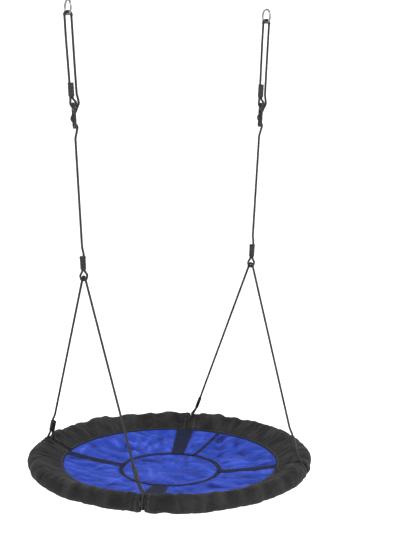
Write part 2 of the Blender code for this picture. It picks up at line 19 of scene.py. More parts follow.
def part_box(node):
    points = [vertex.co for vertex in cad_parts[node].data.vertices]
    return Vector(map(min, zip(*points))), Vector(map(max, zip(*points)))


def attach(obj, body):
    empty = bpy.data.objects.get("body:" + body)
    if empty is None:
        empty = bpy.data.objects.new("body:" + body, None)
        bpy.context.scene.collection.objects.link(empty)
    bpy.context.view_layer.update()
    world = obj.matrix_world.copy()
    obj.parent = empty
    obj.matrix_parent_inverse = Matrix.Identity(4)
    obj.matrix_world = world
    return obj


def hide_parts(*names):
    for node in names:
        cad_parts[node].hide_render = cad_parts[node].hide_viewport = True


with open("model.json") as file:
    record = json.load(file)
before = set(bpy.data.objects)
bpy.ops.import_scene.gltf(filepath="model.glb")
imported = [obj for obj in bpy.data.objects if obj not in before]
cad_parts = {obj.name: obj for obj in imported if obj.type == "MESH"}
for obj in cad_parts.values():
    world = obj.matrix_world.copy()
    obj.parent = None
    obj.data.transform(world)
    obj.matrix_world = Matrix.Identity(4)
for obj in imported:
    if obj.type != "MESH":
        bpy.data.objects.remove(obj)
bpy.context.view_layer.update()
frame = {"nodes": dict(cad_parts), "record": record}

MM = 0.001
WAVE = 0.314  # a wave texture of scale 1 repeats at this spacing
SIDES = ("left", -1), ("right", 1)
JOINTS = {joint["name"]: joint for joint in frame["record"]["behaviour"]["joints"]}

# Where things hang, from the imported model.
HANG_HALF = JOINTS["right_hanger_sway"]["pos_m"][0]
BIGHT_DROP = -JOINTS["right_hanger_sway"]["pos_m"][2]
PIVOT_HALF = -JOINTS["seat_pitch"]["pos_m"][0]
PIVOT_DROP = -JOINTS["seat_pitch"]["pos_m"][2]
COVER_LOW, COVER_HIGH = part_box("cover_right")
SEAT_DROP = -(COVER_LOW[2] + COVER_HIGH[2]) / 2
SEAT = Vector((0, 0, -SEAT_DROP))
LEG_ANGLE = math.radians(48.5)
SEAT_TURN = math.radians(2.5)

# Rope, ferrules and sleeves.
ROPE_RADIUS = 4 * MM
STRAND = 4.15 * MM  # half the spacing of two strands in a ferrule
FERRULE_LENGTH = 45 * MM
FERRULE_HALF = (10.5 * MM, 6.35 * MM)  # outside, across both strands and across one
BORE_HALF = (8.6 * MM, 4.45 * MM)
ROPE_END = 4 * MM
FLARE = 7 * MM
MERGE = 30 * MM
HOOK_RING_RADIUS = 23.5 * MM
HOOK_WIRE = 3.5 * MM
SLEEVE_BORE = 5 * MM
HOOK_SLEEVE_RADIUS = 5.9 * MM
BIGHT_RADIUS = 12 * MM
EYE_SLEEVE_RADIUS = 5.8 * MM
EYE_RADIUS = EYE_SLEEVE_RADIUS + ROPE_RADIUS + 3 * MM
EYE_SLEEVE_SPREAD = math.radians(50)  # how far the sleeve reaches each way round its eye
EYE_NECK = 23 * MM
LEG_BEND = EYE_RADIUS - 1 * MM

# The height adjuster.
ADJUSTER_DROP = 291 * MM
PLATE_THICK = 8 * MM
PLATE_WIDTH = 20 * MM
PLATE_BAR = 8 * MM
TOP_BAR = 7.4 * MM
SLOT_WIDTH = 9.4 * MM
LACE_SLOT = 21.4 * MM
LACE = PLATE_THICK / 2 + ROPE_RADIUS + 2 * MM
TOP_EYE_RADIUS = math.hypot(TOP_BAR / 2, PLATE_THICK / 2) + 1 * MM + ROPE_RADIUS
TOP_SLOT = TOP_EYE_RADIUS + ROPE_RADIUS + 0.7 * MM - TOP_BAR / 2
RUN_CLEAR = TOP_EYE_RADIUS + 2 * ROPE_RADIUS + 1 * MM
TOP_FERRULE_SHIFT = -5 * MM

# The seat ring.
RING_RADIUS = 470 * MM
COVER_RADIUS = 30 * MM
TUBE_RADIUS = 14 * MM
FOAM_RADIUS = 26.5 * MM
FOAM_BORE = 16 * MM
ROPE_GAP = 20 * MM
LOOP_ROOM = 1.7 * MM
LOOP_RISE = 74 * MM
MAT_RADIUS = 380 * MM
SEAM_RADIUS = 382.2 * MM
SEAM_DEPTH = 6 * MM
EDGE_DROP = 12 * MM
MAT_SAG = 40 * MM
WEB_RING_RADIUS = 176 * MM
WEB_RING_WIDTH = 16 * MM
WEB_CLEAR = 0.5 * MM  # under the straps, above the mat's taut face
SPOKES = (
    # name, direction in degrees, width at the webbing circle, width at the mat's edge
    ("webbing_left", 138, 34 * MM, 40 * MM),
    ("webbing_back_broad", 52.5, 46 * MM, 66 * MM),
    ("webbing_back_right", 32, 13 * MM, 13 * MM),
    ("webbing_right", -38, 32 * MM, 36 * MM),
    ("webbing_front_broad", -129, 56 * MM, 78 * MM),
)
SEAM = SEAM_RADIUS - RING_RADIUS
SEAM_HIGH = -EDGE_DROP + 1 * MM
SEAM_LOW = SEAM_HIGH - SEAM_DEPTH
# Directions from the tube's centreline to where the cover's round meets its flat inner flange.
ROUND_TOP = math.atan2(SEAM_HIGH, SEAM) - math.acos(COVER_RADIUS / math.hypot(SEAM, SEAM_HIGH))
ROUND_FOOT = math.atan2(SEAM_LOW, SEAM) + math.acos(COVER_RADIUS / math.hypot(SEAM, SEAM_LOW))
TAPE_INSET = 14 * MM
TAPE_WIDTH = 25 * MM


# ---------------------------------------------------------------- camera, light and stage


def camera():
    """Stands low and to the left of the front, a little over four metres from the seat."""
    yaw, pitch, roll = 0.5247, 0.158, 0.008
    forward = Vector((math.sin(yaw) * math.cos(pitch), math.cos(yaw) * math.cos(pitch), -math.sin(pitch)))
    right = Vector((math.cos(yaw), -math.sin(yaw), 0))
    up = right.cross(forward)
    turned_right = math.cos(roll) * right + math.sin(roll) * up
    turned_up = math.cos(roll) * up - math.sin(roll) * right
    lens = bpy.data.cameras.new("camera")
    lens.sensor_width = 36
    lens.lens = 75.7
    lens.clip_end = 100
    obj = placed("camera", lens)
    axes = Matrix((turned_right, turned_up, -forward)).transposed().to_4x4()
    obj.matrix_world = Matrix.Translation((-1.899, -3.484, -0.260)) @ axes
    bpy.context.scene.camera = obj


def lamp(name, place, aim, size, power):
    light = bpy.data.lights.new(name, "AREA")
    light.shape = "DISK"
    light.size = size
    light.energy = power
    obj = placed(name, light)
    obj.location = place
    obj.rotation_euler = (Vector(aim) - Vector(place)).to_track_quat("-Z", "Y").to_euler()


def stage():
    """A pale floor that curves up into a wall all round, so that no edge shows from any side."""
    floor_drop, floor_radius, bend, wall = SEAT_DROP + 0.55, 9.0, 4.0, 6.0
    profile = [(0.0, -floor_drop), (floor_radius * 0.5, -floor_drop), (floor_radius, -floor_drop)]
    for step in range(1, 13):
        turn = math.pi / 2 * step / 12
        profile.append((floor_radius + bend * math.sin(turn), bend * (1 - math.cos(turn)) - floor_drop))
    profile.append((floor_radius + bend, bend + wall - floor_drop))
    around = 96
    rows = np.empty((len(profile), around, 3))
    turns = np.linspace(0, 2 * math.pi, around, endpoint=False)
    for index, (radius, height) in enumerate(profile):
        radius = max(radius, 0.001)
        rows[index] = np.stack(
            [radius * np.cos(turns), radius * np.sin(turns), np.full(around, height)], axis=1
        )
    lattice("floor", rows, paper_backdrop(), wrap_rows=False, wrap_columns=True)
    world = bpy.data.worlds.new("studio")
    bpy.context.scene.world = world
    world.use_nodes = True
    feed(world.node_tree.nodes["Background"], {"Color": (1, 1, 1, 1), "Strength": 0.55})
    middle = (0, 0, -0.9)
    lamp("key", (1.0, -4.2, 3.6), middle, 1.4, 330)
    lamp("fill", (-4.2, -1.2, 1.2), middle, 3.5, 50)
    lamp("back", (0.5, 4.6, 2.8), middle, 3.0, 90)


# ---------------------------------------------------------------- colour and nodes


def colour(code):
    """An sRGB hex colour as linear RGBA."""
    parts = [int(code[i : i + 2], 16) / 255 for i in (1, 3, 5)]
    return (*(c / 12.92 if c <= 0.04045 else ((c + 0.055) / 1.055) ** 2.4 for c in parts), 1.0)


def feed(made, sockets):
    """Sets a node's inputs, each from a value, from an output or from another node's first output."""
    for key, value in sockets.items():
        if isinstance(value, bpy.types.Node):
            value = value.outputs[0]
        if isinstance(value, bpy.types.NodeSocket):
            made.id_data.links.new(value, made.inputs[key])
        else:
            made.inputs[key].default_value = value


def node(tree, kind, sockets=None, stops=(), **settings):
    """Adds a node with its own settings, what feeds its sockets, and a ramp's (position, hex colour)s."""
    made = tree.nodes.new(kind)
    for key, value in settings.items():
        setattr(made, key, value)
    if stops:
        while len(made.color_ramp.elements) < len(stops):
            made.color_ramp.elements.new(0.5)
        for element, (position, code) in zip(made.color_ramp.elements, stops):
            element.position = position
            element.color = colour(code)
    feed(made, sockets or {})
    return made


def per_mm(millimetres):
    """The texture scale whose blotches or cells are about so many millimetres across."""
    return 1 / (millimetres * MM)


def shaded(name, base, roughness, metallic=0.0, **sockets):
    """A material with one shader on its own sockets, with its shader, its tree and its place."""
    made = bpy.data.materials.new(name)
    made.use_nodes = True
    made.diffuse_color = colour(base)
    tree = made.node_tree
    shader = tree.nodes["Principled BSDF"]
    feed(shader, {"Base Color": colour(base), "Roughness": roughness, "Metallic": metallic})
    feed(shader, {key.replace("_", " "): value for key, value in sockets.items()})
    return made, shader, tree, node(tree, "ShaderNodeTexCoord").outputs["Object"]


# ---------------------------------------------------------------- materials


def paper_backdrop():
    """Matt white background paper: no gloss, and even enough to leave the shadow soft."""
    made, shader, _, _ = shaded(
        "matt_white_paper", "#F8F8F7", 0.95, Specular_IOR_Level=0.1, Emission_Strength=0.36
    )
    feed(shader, {"Emission Color": colour("#FFFFFF")})
    return made


def oxford_cloth(name, base, light, dark, blotch, wear, fold_shading):
    """PU-coated polyester Oxford, woven plain and a little puckered: matt, with a soft edge sheen.

    The real thread spacing is 0.5 mm; it is drawn at 1.1 mm so that it still shows from arm's length.
    Blotches are so many millimetres across and wear rubs them grey; the last argument sets how much painted
    shade darkens the folds' hollows and painted highlight lightens their ridges.
    """
    made, shader, tree, place = shaded(
        name, base, 0.78, Sheen_Weight=0.04, Sheen_Roughness=0.45, Specular_IOR_Level=0.12
    )
    feed(shader, {"Sheen Tint": colour(light)})
    clouds = {"Vector": place, "Scale": per_mm(blotch), "Detail": 4.0, "Roughness": 0.6, "Distortion": 0.8}
    patches = node(tree, "ShaderNodeTexNoise", clouds)
    rubs = {**clouds, "Scale": per_mm(blotch / 6), "Detail": 3.0, "Roughness": 0.65, "Distortion": 1.6}
    streaks = node(tree, "ShaderNodeTexNoise", rubs)
    tones = ((0.30, dark), (0.50, base), (0.72, light))
    tone = node(tree, "ShaderNodeValToRGB", {"Fac": patches}, stops=tones)
    rubbed = node(
        tree, "ShaderNodeValToRGB", {"Fac": streaks}, stops=((0.35, "#8C8C8C"), (0.62, "#FFFFFF"))
    )
    toned = node(
        tree, "ShaderNodeMix", {0: wear, 6: tone, 7: rubbed}, data_type="RGBA", blend_type="MULTIPLY"
    )
    fold = node(tree, "ShaderNodeAttribute", attribute_name="fold").outputs["Fac"]
    height = node(tree, "ShaderNodeMapRange", {"Value": fold, "From Min": -1.0, "From Max": 1.0})
    # Painted shade and highlight: the hollows of the folds are painted darker and their ridges lighter,
    # following the fold heights.
    relief = ((0.15, dark), (0.5, base), (0.9, light))
    fold_shade_and_highlight = node(tree, "ShaderNodeValToRGB", {"Fac": height}, stops=relief)
    fold_shaded_tone = node(tree, "ShaderNodeMix", {0: fold_shading, 6: toned.outputs[2], 7: fold_shade_and_highlight}, data_type="RGBA")
    # Plain weave on the piece's own UV map, which is in metres: two sets of threads cross.
    cut = node(tree, "ShaderNodeUVMap", uv_map="cloth")
    thread = 1.1 * MM
    yarn = {"Vector": cut, "Scale": WAVE / (2 * thread), "Distortion": 0.6, "Detail": 1.0}
    yarn["Detail Scale"] = 4.0
    warp = node(tree, "ShaderNodeTexWave", yarn, bands_direction="X").outputs["Fac"]
    weft = node(tree, "ShaderNodeTexWave", yarn, bands_direction="Y").outputs["Fac"]
    weave = node(tree, "ShaderNodeMath", {0: warp, 1: weft}, operation="MULTIPLY")
    coarse = node(tree, "ShaderNodeBump", {"Height": streaks, "Distance": 1.6 * MM, "Strength": 0.55})
    dents = {"Vector": place, "Scale": per_mm(9), "Detail": 4.0, "Roughness": 0.6, "Distortion": 1.2}
    crumple = node(
        tree,
        "ShaderNodeBump",
        {
            "Height": node(tree, "ShaderNodeTexNoise", dents),
            "Distance": 0.9 * MM,
            "Strength": 0.5,
            "Normal": coarse,
        },
    )
    woven = node(
        tree,
        "ShaderNodeBump",
        {"Height": weave, "Distance": 0.22 * MM, "Strength": 0.5, "Normal": crumple},
    )
    rough = node(tree, "ShaderNodeMapRange", {"Value": patches, "To Min": 0.66, "To Max": 0.88})
    feed(shader, {"Base Color": fold_shaded_tone.outputs[2], "Normal": woven, "Roughness": rough})
    return made


def webbing_cloth(name, base, light):
    """Woven polypropylene tape: a coarse herringbone with a dull shine on the ribs."""
    made, shader, tree, place = shaded(name, base, 0.8, Specular_IOR_Level=0.08)
    cut = node(tree, "ShaderNodeUVMap", uv_map="cloth")
    aslant = node(tree, "ShaderNodeMapping", {"Vector": cut, "Rotation": (0, 0, math.radians(45))})
    ribs = node(
        tree, "ShaderNodeTexWave", {"Vector": aslant, "Scale": WAVE / (1.6 * MM), "Distortion": 0.4}
    ).outputs["Fac"]
    dirt = node(
        tree,
        "ShaderNodeTexNoise",
        {"Vector": place, "Scale": per_mm(14), "Detail": 4.0, "Roughness": 0.55},
    )
    crests = node(tree, "ShaderNodeMapRange", {"Value": ribs, "To Min": 0.0, "To Max": 0.55})
    tone = node(tree, "ShaderNodeMix", {0: crests, 6: colour(base), 7: colour(light)}, data_type="RGBA")
    grime = node(tree, "ShaderNodeValToRGB", {"Fac": dirt}, stops=((0.3, "#9A9A9A"), (0.7, "#FFFFFF")))
    toned = node(
        tree,
        "ShaderNodeMix",
        {0: 0.5, 6: tone.outputs[2], 7: grime},
        data_type="RGBA",
        blend_type="MULTIPLY",
    )
    raised = node(tree, "ShaderNodeBump", {"Height": ribs, "Distance": 0.35 * MM, "Strength": 0.7})
    feed(shader, {"Base Color": toned.outputs[2], "Normal": raised})
    return made


def rope_fibre():
    """Black polypropylene multifilament: each strand's fine fibres catch a thin, greyish light."""
    made, shader, tree, place = shaded("black_polypropylene_rope", "#1B1B1E", 0.68, Specular_IOR_Level=0.22)
    cut = node(tree, "ShaderNodeUVMap", uv_map="cloth")
    drawn = node(tree, "ShaderNodeMapping", {"Vector": cut, "Scale": (1.0, 0.14, 1.0)})
    hairs = {"Vector": drawn, "Scale": per_mm(0.7), "Detail": 2.0, "Roughness": 0.6}
    fibres = node(tree, "ShaderNodeTexNoise", hairs)
    motes = {"Vector": place, "Scale": per_mm(25), "Detail": 4.0, "Roughness": 0.55}
    dust = node(tree, "ShaderNodeTexNoise", motes)
    blacks = ((0.3, "#0E0E10"), (0.55, "#1D1D20"), (0.8, "#3A3A3E"))
    tone = node(tree, "ShaderNodeValToRGB", {"Fac": fibres}, stops=blacks)
    share = node(tree, "ShaderNodeMapRange", {"Value": dust, "To Min": 0.0, "To Max": 0.22})
    toned = node(tree, "ShaderNodeMix", {0: share, 6: tone, 7: colour("#4A4946")}, data_type="RGBA")
    raised = node(tree, "ShaderNodeBump", {"Height": fibres, "Distance": 0.18 * MM, "Strength": 0.7})
    feed(shader, {"Base Color": toned.outputs[2], "Normal": raised})
    return made


def moulded_plastic(name, base, light, roughness, grain):
    """Injection-moulded black plastic: a fine spark-eroded grain, rubbed smoother in places."""
    made, shader, tree, place = shaded(name, base, roughness, IOR=1.46, Specular_IOR_Level=0.32)
    spark = {"Vector": place, "Scale": per_mm(grain), "Detail": 2.0, "Roughness": 0.5}
    texture = node(tree, "ShaderNodeTexNoise", spark)
    handled = {"Vector": place, "Scale": per_mm(12), "Detail": 4.0, "Roughness": 0.55}
    rubbed = node(tree, "ShaderNodeTexNoise", handled)
    share = node(tree, "ShaderNodeMapRange", {"Value": rubbed, "To Min": 0.0, "To Max": 0.5})
    tone = node(tree, "ShaderNodeMix", {0: share, 6: colour(base), 7: colour(light)}, data_type="RGBA")
    ends = {"Value": rubbed, "To Min": roughness + 0.1, "To Max": roughness - 0.12}
    rough = node(tree, "ShaderNodeMapRange", ends)
    raised = node(tree, "ShaderNodeBump", {"Height": texture, "Distance": 0.08 * MM, "Strength": 0.6})
    feed(shader, {"Base Color": tone.outputs[2], "Roughness": rough, "Normal": raised})
    return made


def zinc_plate():
    """Bright zinc plate on drawn steel wire: cool grey, faintly clouded, with fine pits."""
    made, shader, tree, place = shaded("bright_zinc_plate", "#7C7F82", 0.34, 1.0)
    cloudy = {"Vector": place, "Scale": per_mm(7), "Detail": 5.0, "Roughness": 0.6}
    clouds = node(tree, "ShaderNodeTexNoise", cloudy)
    pitted = {"Vector": place, "Scale": per_mm(0.9), "Detail": 3.0, "Roughness": 0.6}
    pits = node(tree, "ShaderNodeTexNoise", pitted)
    tone = node(tree, "ShaderNodeValToRGB", {"Fac": clouds}, stops=((0.3, "#64676A"), (0.7, "#8E9194")))
    rough = node(tree, "ShaderNodeMapRange", {"Value": clouds, "To Min": 0.42, "To Max": 0.22})
    raised = node(tree, "ShaderNodeBump", {"Height": pits, "Distance": 0.05 * MM, "Strength": 0.5})
    feed(shader, {"Base Color": tone, "Roughness": rough, "Normal": raised})
    return made


def powder_coat():
    """Grey powder coat baked on steel tube: an even satin skin with a slight orange peel."""
    made, shader, tree, place = shaded("grey_powder_coat", "#5A5C5E", 0.42, Coat_Weight=0.15)
    skin = {"Vector": place, "Scale": per_mm(1.8), "Detail": 2.0, "Roughness": 0.4}
    peel = node(tree, "ShaderNodeTexNoise", skin)
    worn = {"Vector": place, "Scale": per_mm(20), "Detail": 5.0, "Roughness": 0.55}
    wear = node(tree, "ShaderNodeTexNoise", worn)
    tone = node(tree, "ShaderNodeValToRGB", {"Fac": wear}, stops=((0.3, "#4C4E50"), (0.7, "#636567")))
    raised = node(tree, "ShaderNodeBump", {"Height": peel, "Distance": 0.06 * MM, "Strength": 0.6})
    feed(shader, {"Base Color": tone, "Normal": raised})
    return made


def closed_cell_foam():
    """Extruded polyethylene foam: dull charcoal, with small open bubbles on the skin."""
    made, shader, tree, place = shaded("charcoal_foam", "#3A3A3C", 0.92, Specular_IOR_Level=0.2)
    bubbles = node(tree, "ShaderNodeTexVoronoi", {"Vector": place, "Scale": per_mm(1.6)})
    # Painted shade: each open bubble is painted darkest in its hollow and lighter towards its rim.
    bubble_shade_greys = ((0.0, "#242426"), (0.5, "#3C3C3F"), (1.0, "#48484B"))
    tone = node(tree, "ShaderNodeValToRGB", {"Fac": bubbles}, stops=bubble_shade_greys)
    raised = node(tree, "ShaderNodeBump", {"Height": bubbles, "Distance": 0.4 * MM, "Strength": 0.8})
    feed(shader, {"Base Color": tone, "Normal": raised})
    return made


def touch_fastener():
    """Loop tape: a short, matted nylon pile."""
    made, shader, tree, place = shaded("black_touch_fastener", "#161617", 0.95, Sheen_Weight=0.5)
    matted = {"Vector": place, "Scale": per_mm(1.1), "Detail": 4.0, "Roughness": 0.7, "Distortion": 2.0}
    pile = node(tree, "ShaderNodeTexNoise", matted)
    tone = node(tree, "ShaderNodeValToRGB", {"Fac": pile}, stops=((0.3, "#0C0C0D"), (0.7, "#29292B")))
    raised = node(tree, "ShaderNodeBump", {"Height": pile, "Distance": 0.6 * MM, "Strength": 0.9})
    feed(shader, {"Base Color": tone, "Normal": raised})
    return made


def sewing_thread(name, code):
    """Bonded polyester thread, a touch glossier than the cloth."""
    made, shader, tree, place = shaded(name, code, 0.5, Sheen_Weight=0.3)
    plies = {"Vector": place, "Scale": per_mm(0.6), "Detail": 2.0, "Roughness": 0.55}
    twist = node(tree, "ShaderNodeTexNoise", plies)
    raised = node(tree, "ShaderNodeBump", {"Height": twist, "Distance": 0.1 * MM, "Strength": 0.6})
    feed(shader, {"Normal": raised})
    return made


# ---------------------------------------------------------------- mesh helpers


def placed(name, data):
    """A new object in the scene, at the origin."""
    obj = bpy.data.objects.new(name, data)
    bpy.context.scene.collection.objects.link(obj)
    return obj


def lattice(name, rows, finish, wrap_rows=False, wrap_columns=False, caps=False, uvs=None):
    """A smooth skin over rows of points, an array of (rows, columns, 3).

    With rows running along a piece and columns turning anticlockwise as seen from its far end, faces
    point outwards. uvs has one pair for each point, in metres.
    """
    count, across = rows.shape[:2]
    index = np.arange(count * across).reshape(count, across)
    down = np.concatenate([index, index[:1]]) if wrap_rows else index
    grid = np.concatenate([down, down[:, :1]], axis=1) if wrap_columns else down
    corners = (grid[:-1, :-1], grid[:-1, 1:], grid[1:, 1:], grid[1:, :-1])
    quads = np.stack([corner.ravel() for corner in corners], axis=1)
    faces = [tuple(quad) for quad in quads.tolist()]
    if caps:
        faces.append(tuple(index[0][::-1].tolist()))
        faces.append(tuple(index[-1].tolist()))
    mesh = bpy.data.meshes.new(name)
    mesh.from_pydata(rows.reshape(-1, 3).tolist(), [], faces)
    if uvs is not None:
        add_uvs(mesh, uvs.reshape(-1, 2))
    mesh.shade_smooth()
    mesh.materials.append(finish)
    return placed(name, mesh)


def add_uvs(mesh, pairs):
    layer = mesh.uv_layers.new(name="cloth")
    corner = np.empty(len(mesh.loops), np.int32)
    mesh.loops.foreach_get("vertex_index", corner)
    layer.data.foreach_set("uv", np.asarray(pairs, np.float32)[corner].ravel())


def baked(obj):
    """The object with its modifiers made into plain mesh."""
    graph = bpy.context.evaluated_depsgraph_get()
    mesh = bpy.data.meshes.new_from_object(obj.evaluated_get(graph), depsgraph=graph)
    old = obj.data
    name = old.name
    obj.modifiers.clear()
    obj.data = mesh
    bpy.data.meshes.remove(old)
    mesh.name = name
    return obj


def made_finer(piece):
    finer = piece.modifiers.new("finer", "SUBSURF")
    finer.levels = finer.render_levels = 1
    return piece


def given_thickness(piece, thickness, side):
    cloth = piece.modifiers.new("cloth", "SOLIDIFY")
    cloth.thickness = thickness
    cloth.offset = side
    return piece


def keep_folds(mesh, heights):
    """Notes how far each point stands on a fold, for the cloth's painted shade in the hollows and painted
    highlight on the ridges to follow.
    """
    layer = mesh.attributes.new("fold", "FLOAT", "POINT")
    layer.data.foreach_set("value", np.asarray(heights, np.float32).ravel())


def points_of(mesh):
    flat = np.empty(len(mesh.vertices) * 3)
    mesh.vertices.foreach_get("co", flat)
    return flat.reshape(-1, 3)


def put_points(mesh, points):
    mesh.vertices.foreach_set("co", np.asarray(points, np.float32).ravel())
    mesh.update()


def hand_over(piece, body, *nodes, finish=None):
    """Rides a piece on a body, standing for CAD nodes; finish, the record slot for an extra piece, is not
    used.
    """
    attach(piece, body)
    if nodes:
        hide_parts(*nodes)
    return piece


def run_along(line):
    """How far along a polyline each of its points lies."""
    return np.concatenate([[0], np.cumsum(np.linalg.norm(np.diff(line, axis=0), axis=1))])


def evenly(points, spacing):
    """Points at an even spacing along a polyline."""
    points = np.asarray(points, float)
    run = run_along(points)
    count = max(2, int(round(run[-1] / spacing)) + 1)
    at = np.linspace(0, run[-1], count)
    return np.stack([np.interp(at, run, points[:, axis]) for axis in range(3)], axis=1)


def eased(points, reach, spacing):
    """An evenly spaced line with its corners eased over about a reach, and its ends kept."""
    half = int(math.ceil(3 * reach / spacing))
    kernel = np.exp(-0.5 * (np.arange(-half, half + 1) * spacing / reach) ** 2)
    kernel /= kernel.sum()
    ahead = points[0] + (points[0] - points[1:half + 1][::-1])
    after = points[-1] + (points[-1] - points[-half - 1:-1][::-1])
    padded = np.concatenate([ahead, points, after])
    smooth = [np.convolve(padded[:, axis], kernel, mode="valid") for axis in range(3)]
    return np.stack(smooth, axis=1)


def carried_frames(line):
    """Tangents and two crossing directions along a line, carried without twist."""
    tangents = np.gradient(line, axis=0)
    tangents /= np.linalg.norm(tangents, axis=1)[:, None]
    first = np.cross(tangents[0], (0.0, 0.0, 1.0))
    if np.linalg.norm(first) < 1e-3:
        first = np.cross(tangents[0], (0.0, 1.0, 0.0))
    normals = np.empty_like(line)
    normals[0] = first / np.linalg.norm(first)
    for index in range(1, len(line)):
        carried = normals[index - 1] - tangents[index] * np.dot(normals[index - 1], tangents[index])
        normals[index] = carried / np.linalg.norm(carried)
    return tangents, normals, np.cross(tangents, normals)


def swept(name, line, radii, finish):
    """A capped skin along a line, from an array of (points, sides) radii."""
    _, normals, sideways = carried_frames(line)
    sides = radii.shape[1]
    turns = np.linspace(0, 2 * math.pi, sides, endpoint=False)
    ring = np.cos(turns)[None, :, None] * normals[:, None] + np.sin(turns)[None, :, None] * sideways[:, None]
    rows = line[:, None] + ring * radii[:, :, None]
    around = turns * np.mean(radii)
    uvs = np.stack(np.meshgrid(run_along(line), around, indexing="ij"), axis=2)[:, :, ::-1]
    return lattice(name, rows, finish, wrap_columns=True, caps=True, uvs=uvs)


# ---------------------------------------------------------------- ropes


def circle_points(centre, radius, start, end, count):
    turns = [start + (end - start) * i / (count - 1) for i in range(count)]
    return [(centre[0] + radius * math.cos(t), centre[1] + radius * math.sin(t)) for t in turns]


def eye_points(centre, radius, left_strand, right_strand):
    """A rope eye from its left strand, down round its foot and up to its right strand."""
    ends = []
    for strand, turn in ((left_strand, 1), (right_strand, -1)):
        x, z = strand[0] - centre[0], strand[1] - centre[1]
        ends.append(math.atan2(z, x) + turn * math.acos(radius / math.hypot(x, z)))
    return circle_points(centre, radius, ends[0], ends[1] + 2 * math.pi, 25)


def slot_heights():
    eye_middle = -ADJUSTER_DROP + TOP_EYE_RADIUS
    top = eye_middle - (TOP_BAR + TOP_SLOT) / 2
    upper = top - TOP_SLOT / 2 - PLATE_BAR - LACE_SLOT / 2
    return top, upper, upper - PLATE_BAR - LACE_SLOT


def hanger_frame(sign):
    """A hanger's own frame, with its origin at the top bend and Z up its line, and its length."""
    drop = PIVOT_DROP - BIGHT_DROP
    lean = math.atan2(sign * (HANG_HALF - PIVOT_HALF), drop)
    top = Vector((sign * HANG_HALF, 0, -BIGHT_DROP))
    turned = Matrix.Translation(top) @ Matrix.Rotation(lean, 4, "Y")
    return turned, math.hypot(HANG_HALF - PIVOT_HALF, drop)


def hanger_route(length):
    eye_middle = EYE_RADIUS - length
    foot = eye_middle + EYE_NECK
    head = foot + FERRULE_LENGTH
    _, upper, lower = slot_heights()
    pitch = upper - lower
    top_eye = (0, -ADJUSTER_DROP + TOP_EYE_RADIUS)
    top_foot = top_eye[1] + EYE_NECK
    top_head = top_foot + FERRULE_LENGTH
    left, right = TOP_FERRULE_SHIFT - STRAND, TOP_FERRULE_SHIFT + STRAND
    spread_at = foot - FLARE
    route = [(-STRAND, head - ROPE_END), (-STRAND, spread_at)]
    route += eye_points((0, eye_middle), EYE_RADIUS, (-STRAND, spread_at), (STRAND, spread_at))
    route += [(STRAND, spread_at), (STRAND, head + FLARE)]
    route += [(0, head + MERGE), (0, lower - 1.7 * pitch)]
    for step in range(-8, 25):
        route.append((-LACE * math.sin(math.pi * step / 16), lower + pitch * step / 16))
    route += [
        (RUN_CLEAR, top_eye[1] - 2 * MM),
        (RUN_CLEAR, top_eye[1] + 6 * MM),
        (BIGHT_RADIUS + 2 * MM, top_foot + 8 * MM),
        (BIGHT_RADIUS + 1 * MM, top_head + 40 * MM),
    ]
    route += circle_points((0, 0), BIGHT_RADIUS, 0, math.pi, 19)
    spread_at = top_foot - FLARE
    route += [(-BIGHT_RADIUS, -60 * MM), (left, top_head + FLARE), (left, spread_at)]
    route += eye_points(top_eye, TOP_EYE_RADIUS, (left, spread_at), (right, spread_at))
    route += [(right, spread_at), (right, top_head - ROPE_END)]
    return route


def leg_directions(sign, way):
    straight = Vector((sign * math.cos(LEG_ANGLE), way * math.sin(LEG_ANGLE), 0))
    outward = Matrix.Rotation(SEAT_TURN, 3, "Z") @ straight
    on_ring = outward * RING_RADIUS + SEAT
    pivot = Vector((sign * PIVOT_HALF, 0, -PIVOT_DROP))
    down = Vector((straight.x * RING_RADIUS - pivot.x, 0, on_ring.z - pivot.z)).normalized()
    reach = on_ring - pivot
    turn = reach.angle(down) + math.acos(LEG_BEND / reach.length)
    leaves = pivot + LEG_BEND * (math.cos(turn) * down + way * math.sin(turn) * Vector((0, 1, 0)))
    return outward, on_ring, pivot, down, turn, (leaves - on_ring).normalized()


def leg_end(sign, way):
    outward, on_ring, _, _, _, line = leg_directions(sign, way)
    across = (outward - outward.dot(line) * line).normalized()
    loop = TUBE_RADIUS + ROPE_RADIUS + LOOP_ROOM
    spread_at = LOOP_RISE - FLARE
    lean = math.atan2(line.z, line.dot(outward))
    open_angle = math.acos((loop - STRAND) / spread_at)
    upright = math.sqrt(COVER_RADIUS**2 - loop**2)
    first, last = lean + open_angle, lean - open_angle + 2 * math.pi
    ring = circle_points((0, 0), loop, first, last, 33)
    before = (ring[0][0] + upright * math.sin(first), ring[0][1] - upright * math.cos(first))
    after = (ring[-1][0] - upright * math.sin(last), ring[-1][1] + upright * math.cos(last))
    points = [on_ring + line * (LOOP_RISE + FERRULE_LENGTH - ROPE_END) - across * STRAND]
    points.append(on_ring + line * spread_at - across * STRAND)
    for x, z in [before, *ring, after]:
        points.append(on_ring + outward * x + Vector((0, 0, z)))
    points.append(on_ring + line * spread_at + across * STRAND)
    points.append(on_ring + line * (LOOP_RISE + FERRULE_LENGTH + FLARE) + across * STRAND)
    points.append(on_ring + line * (LOOP_RISE + FERRULE_LENGTH + MERGE))
    return points


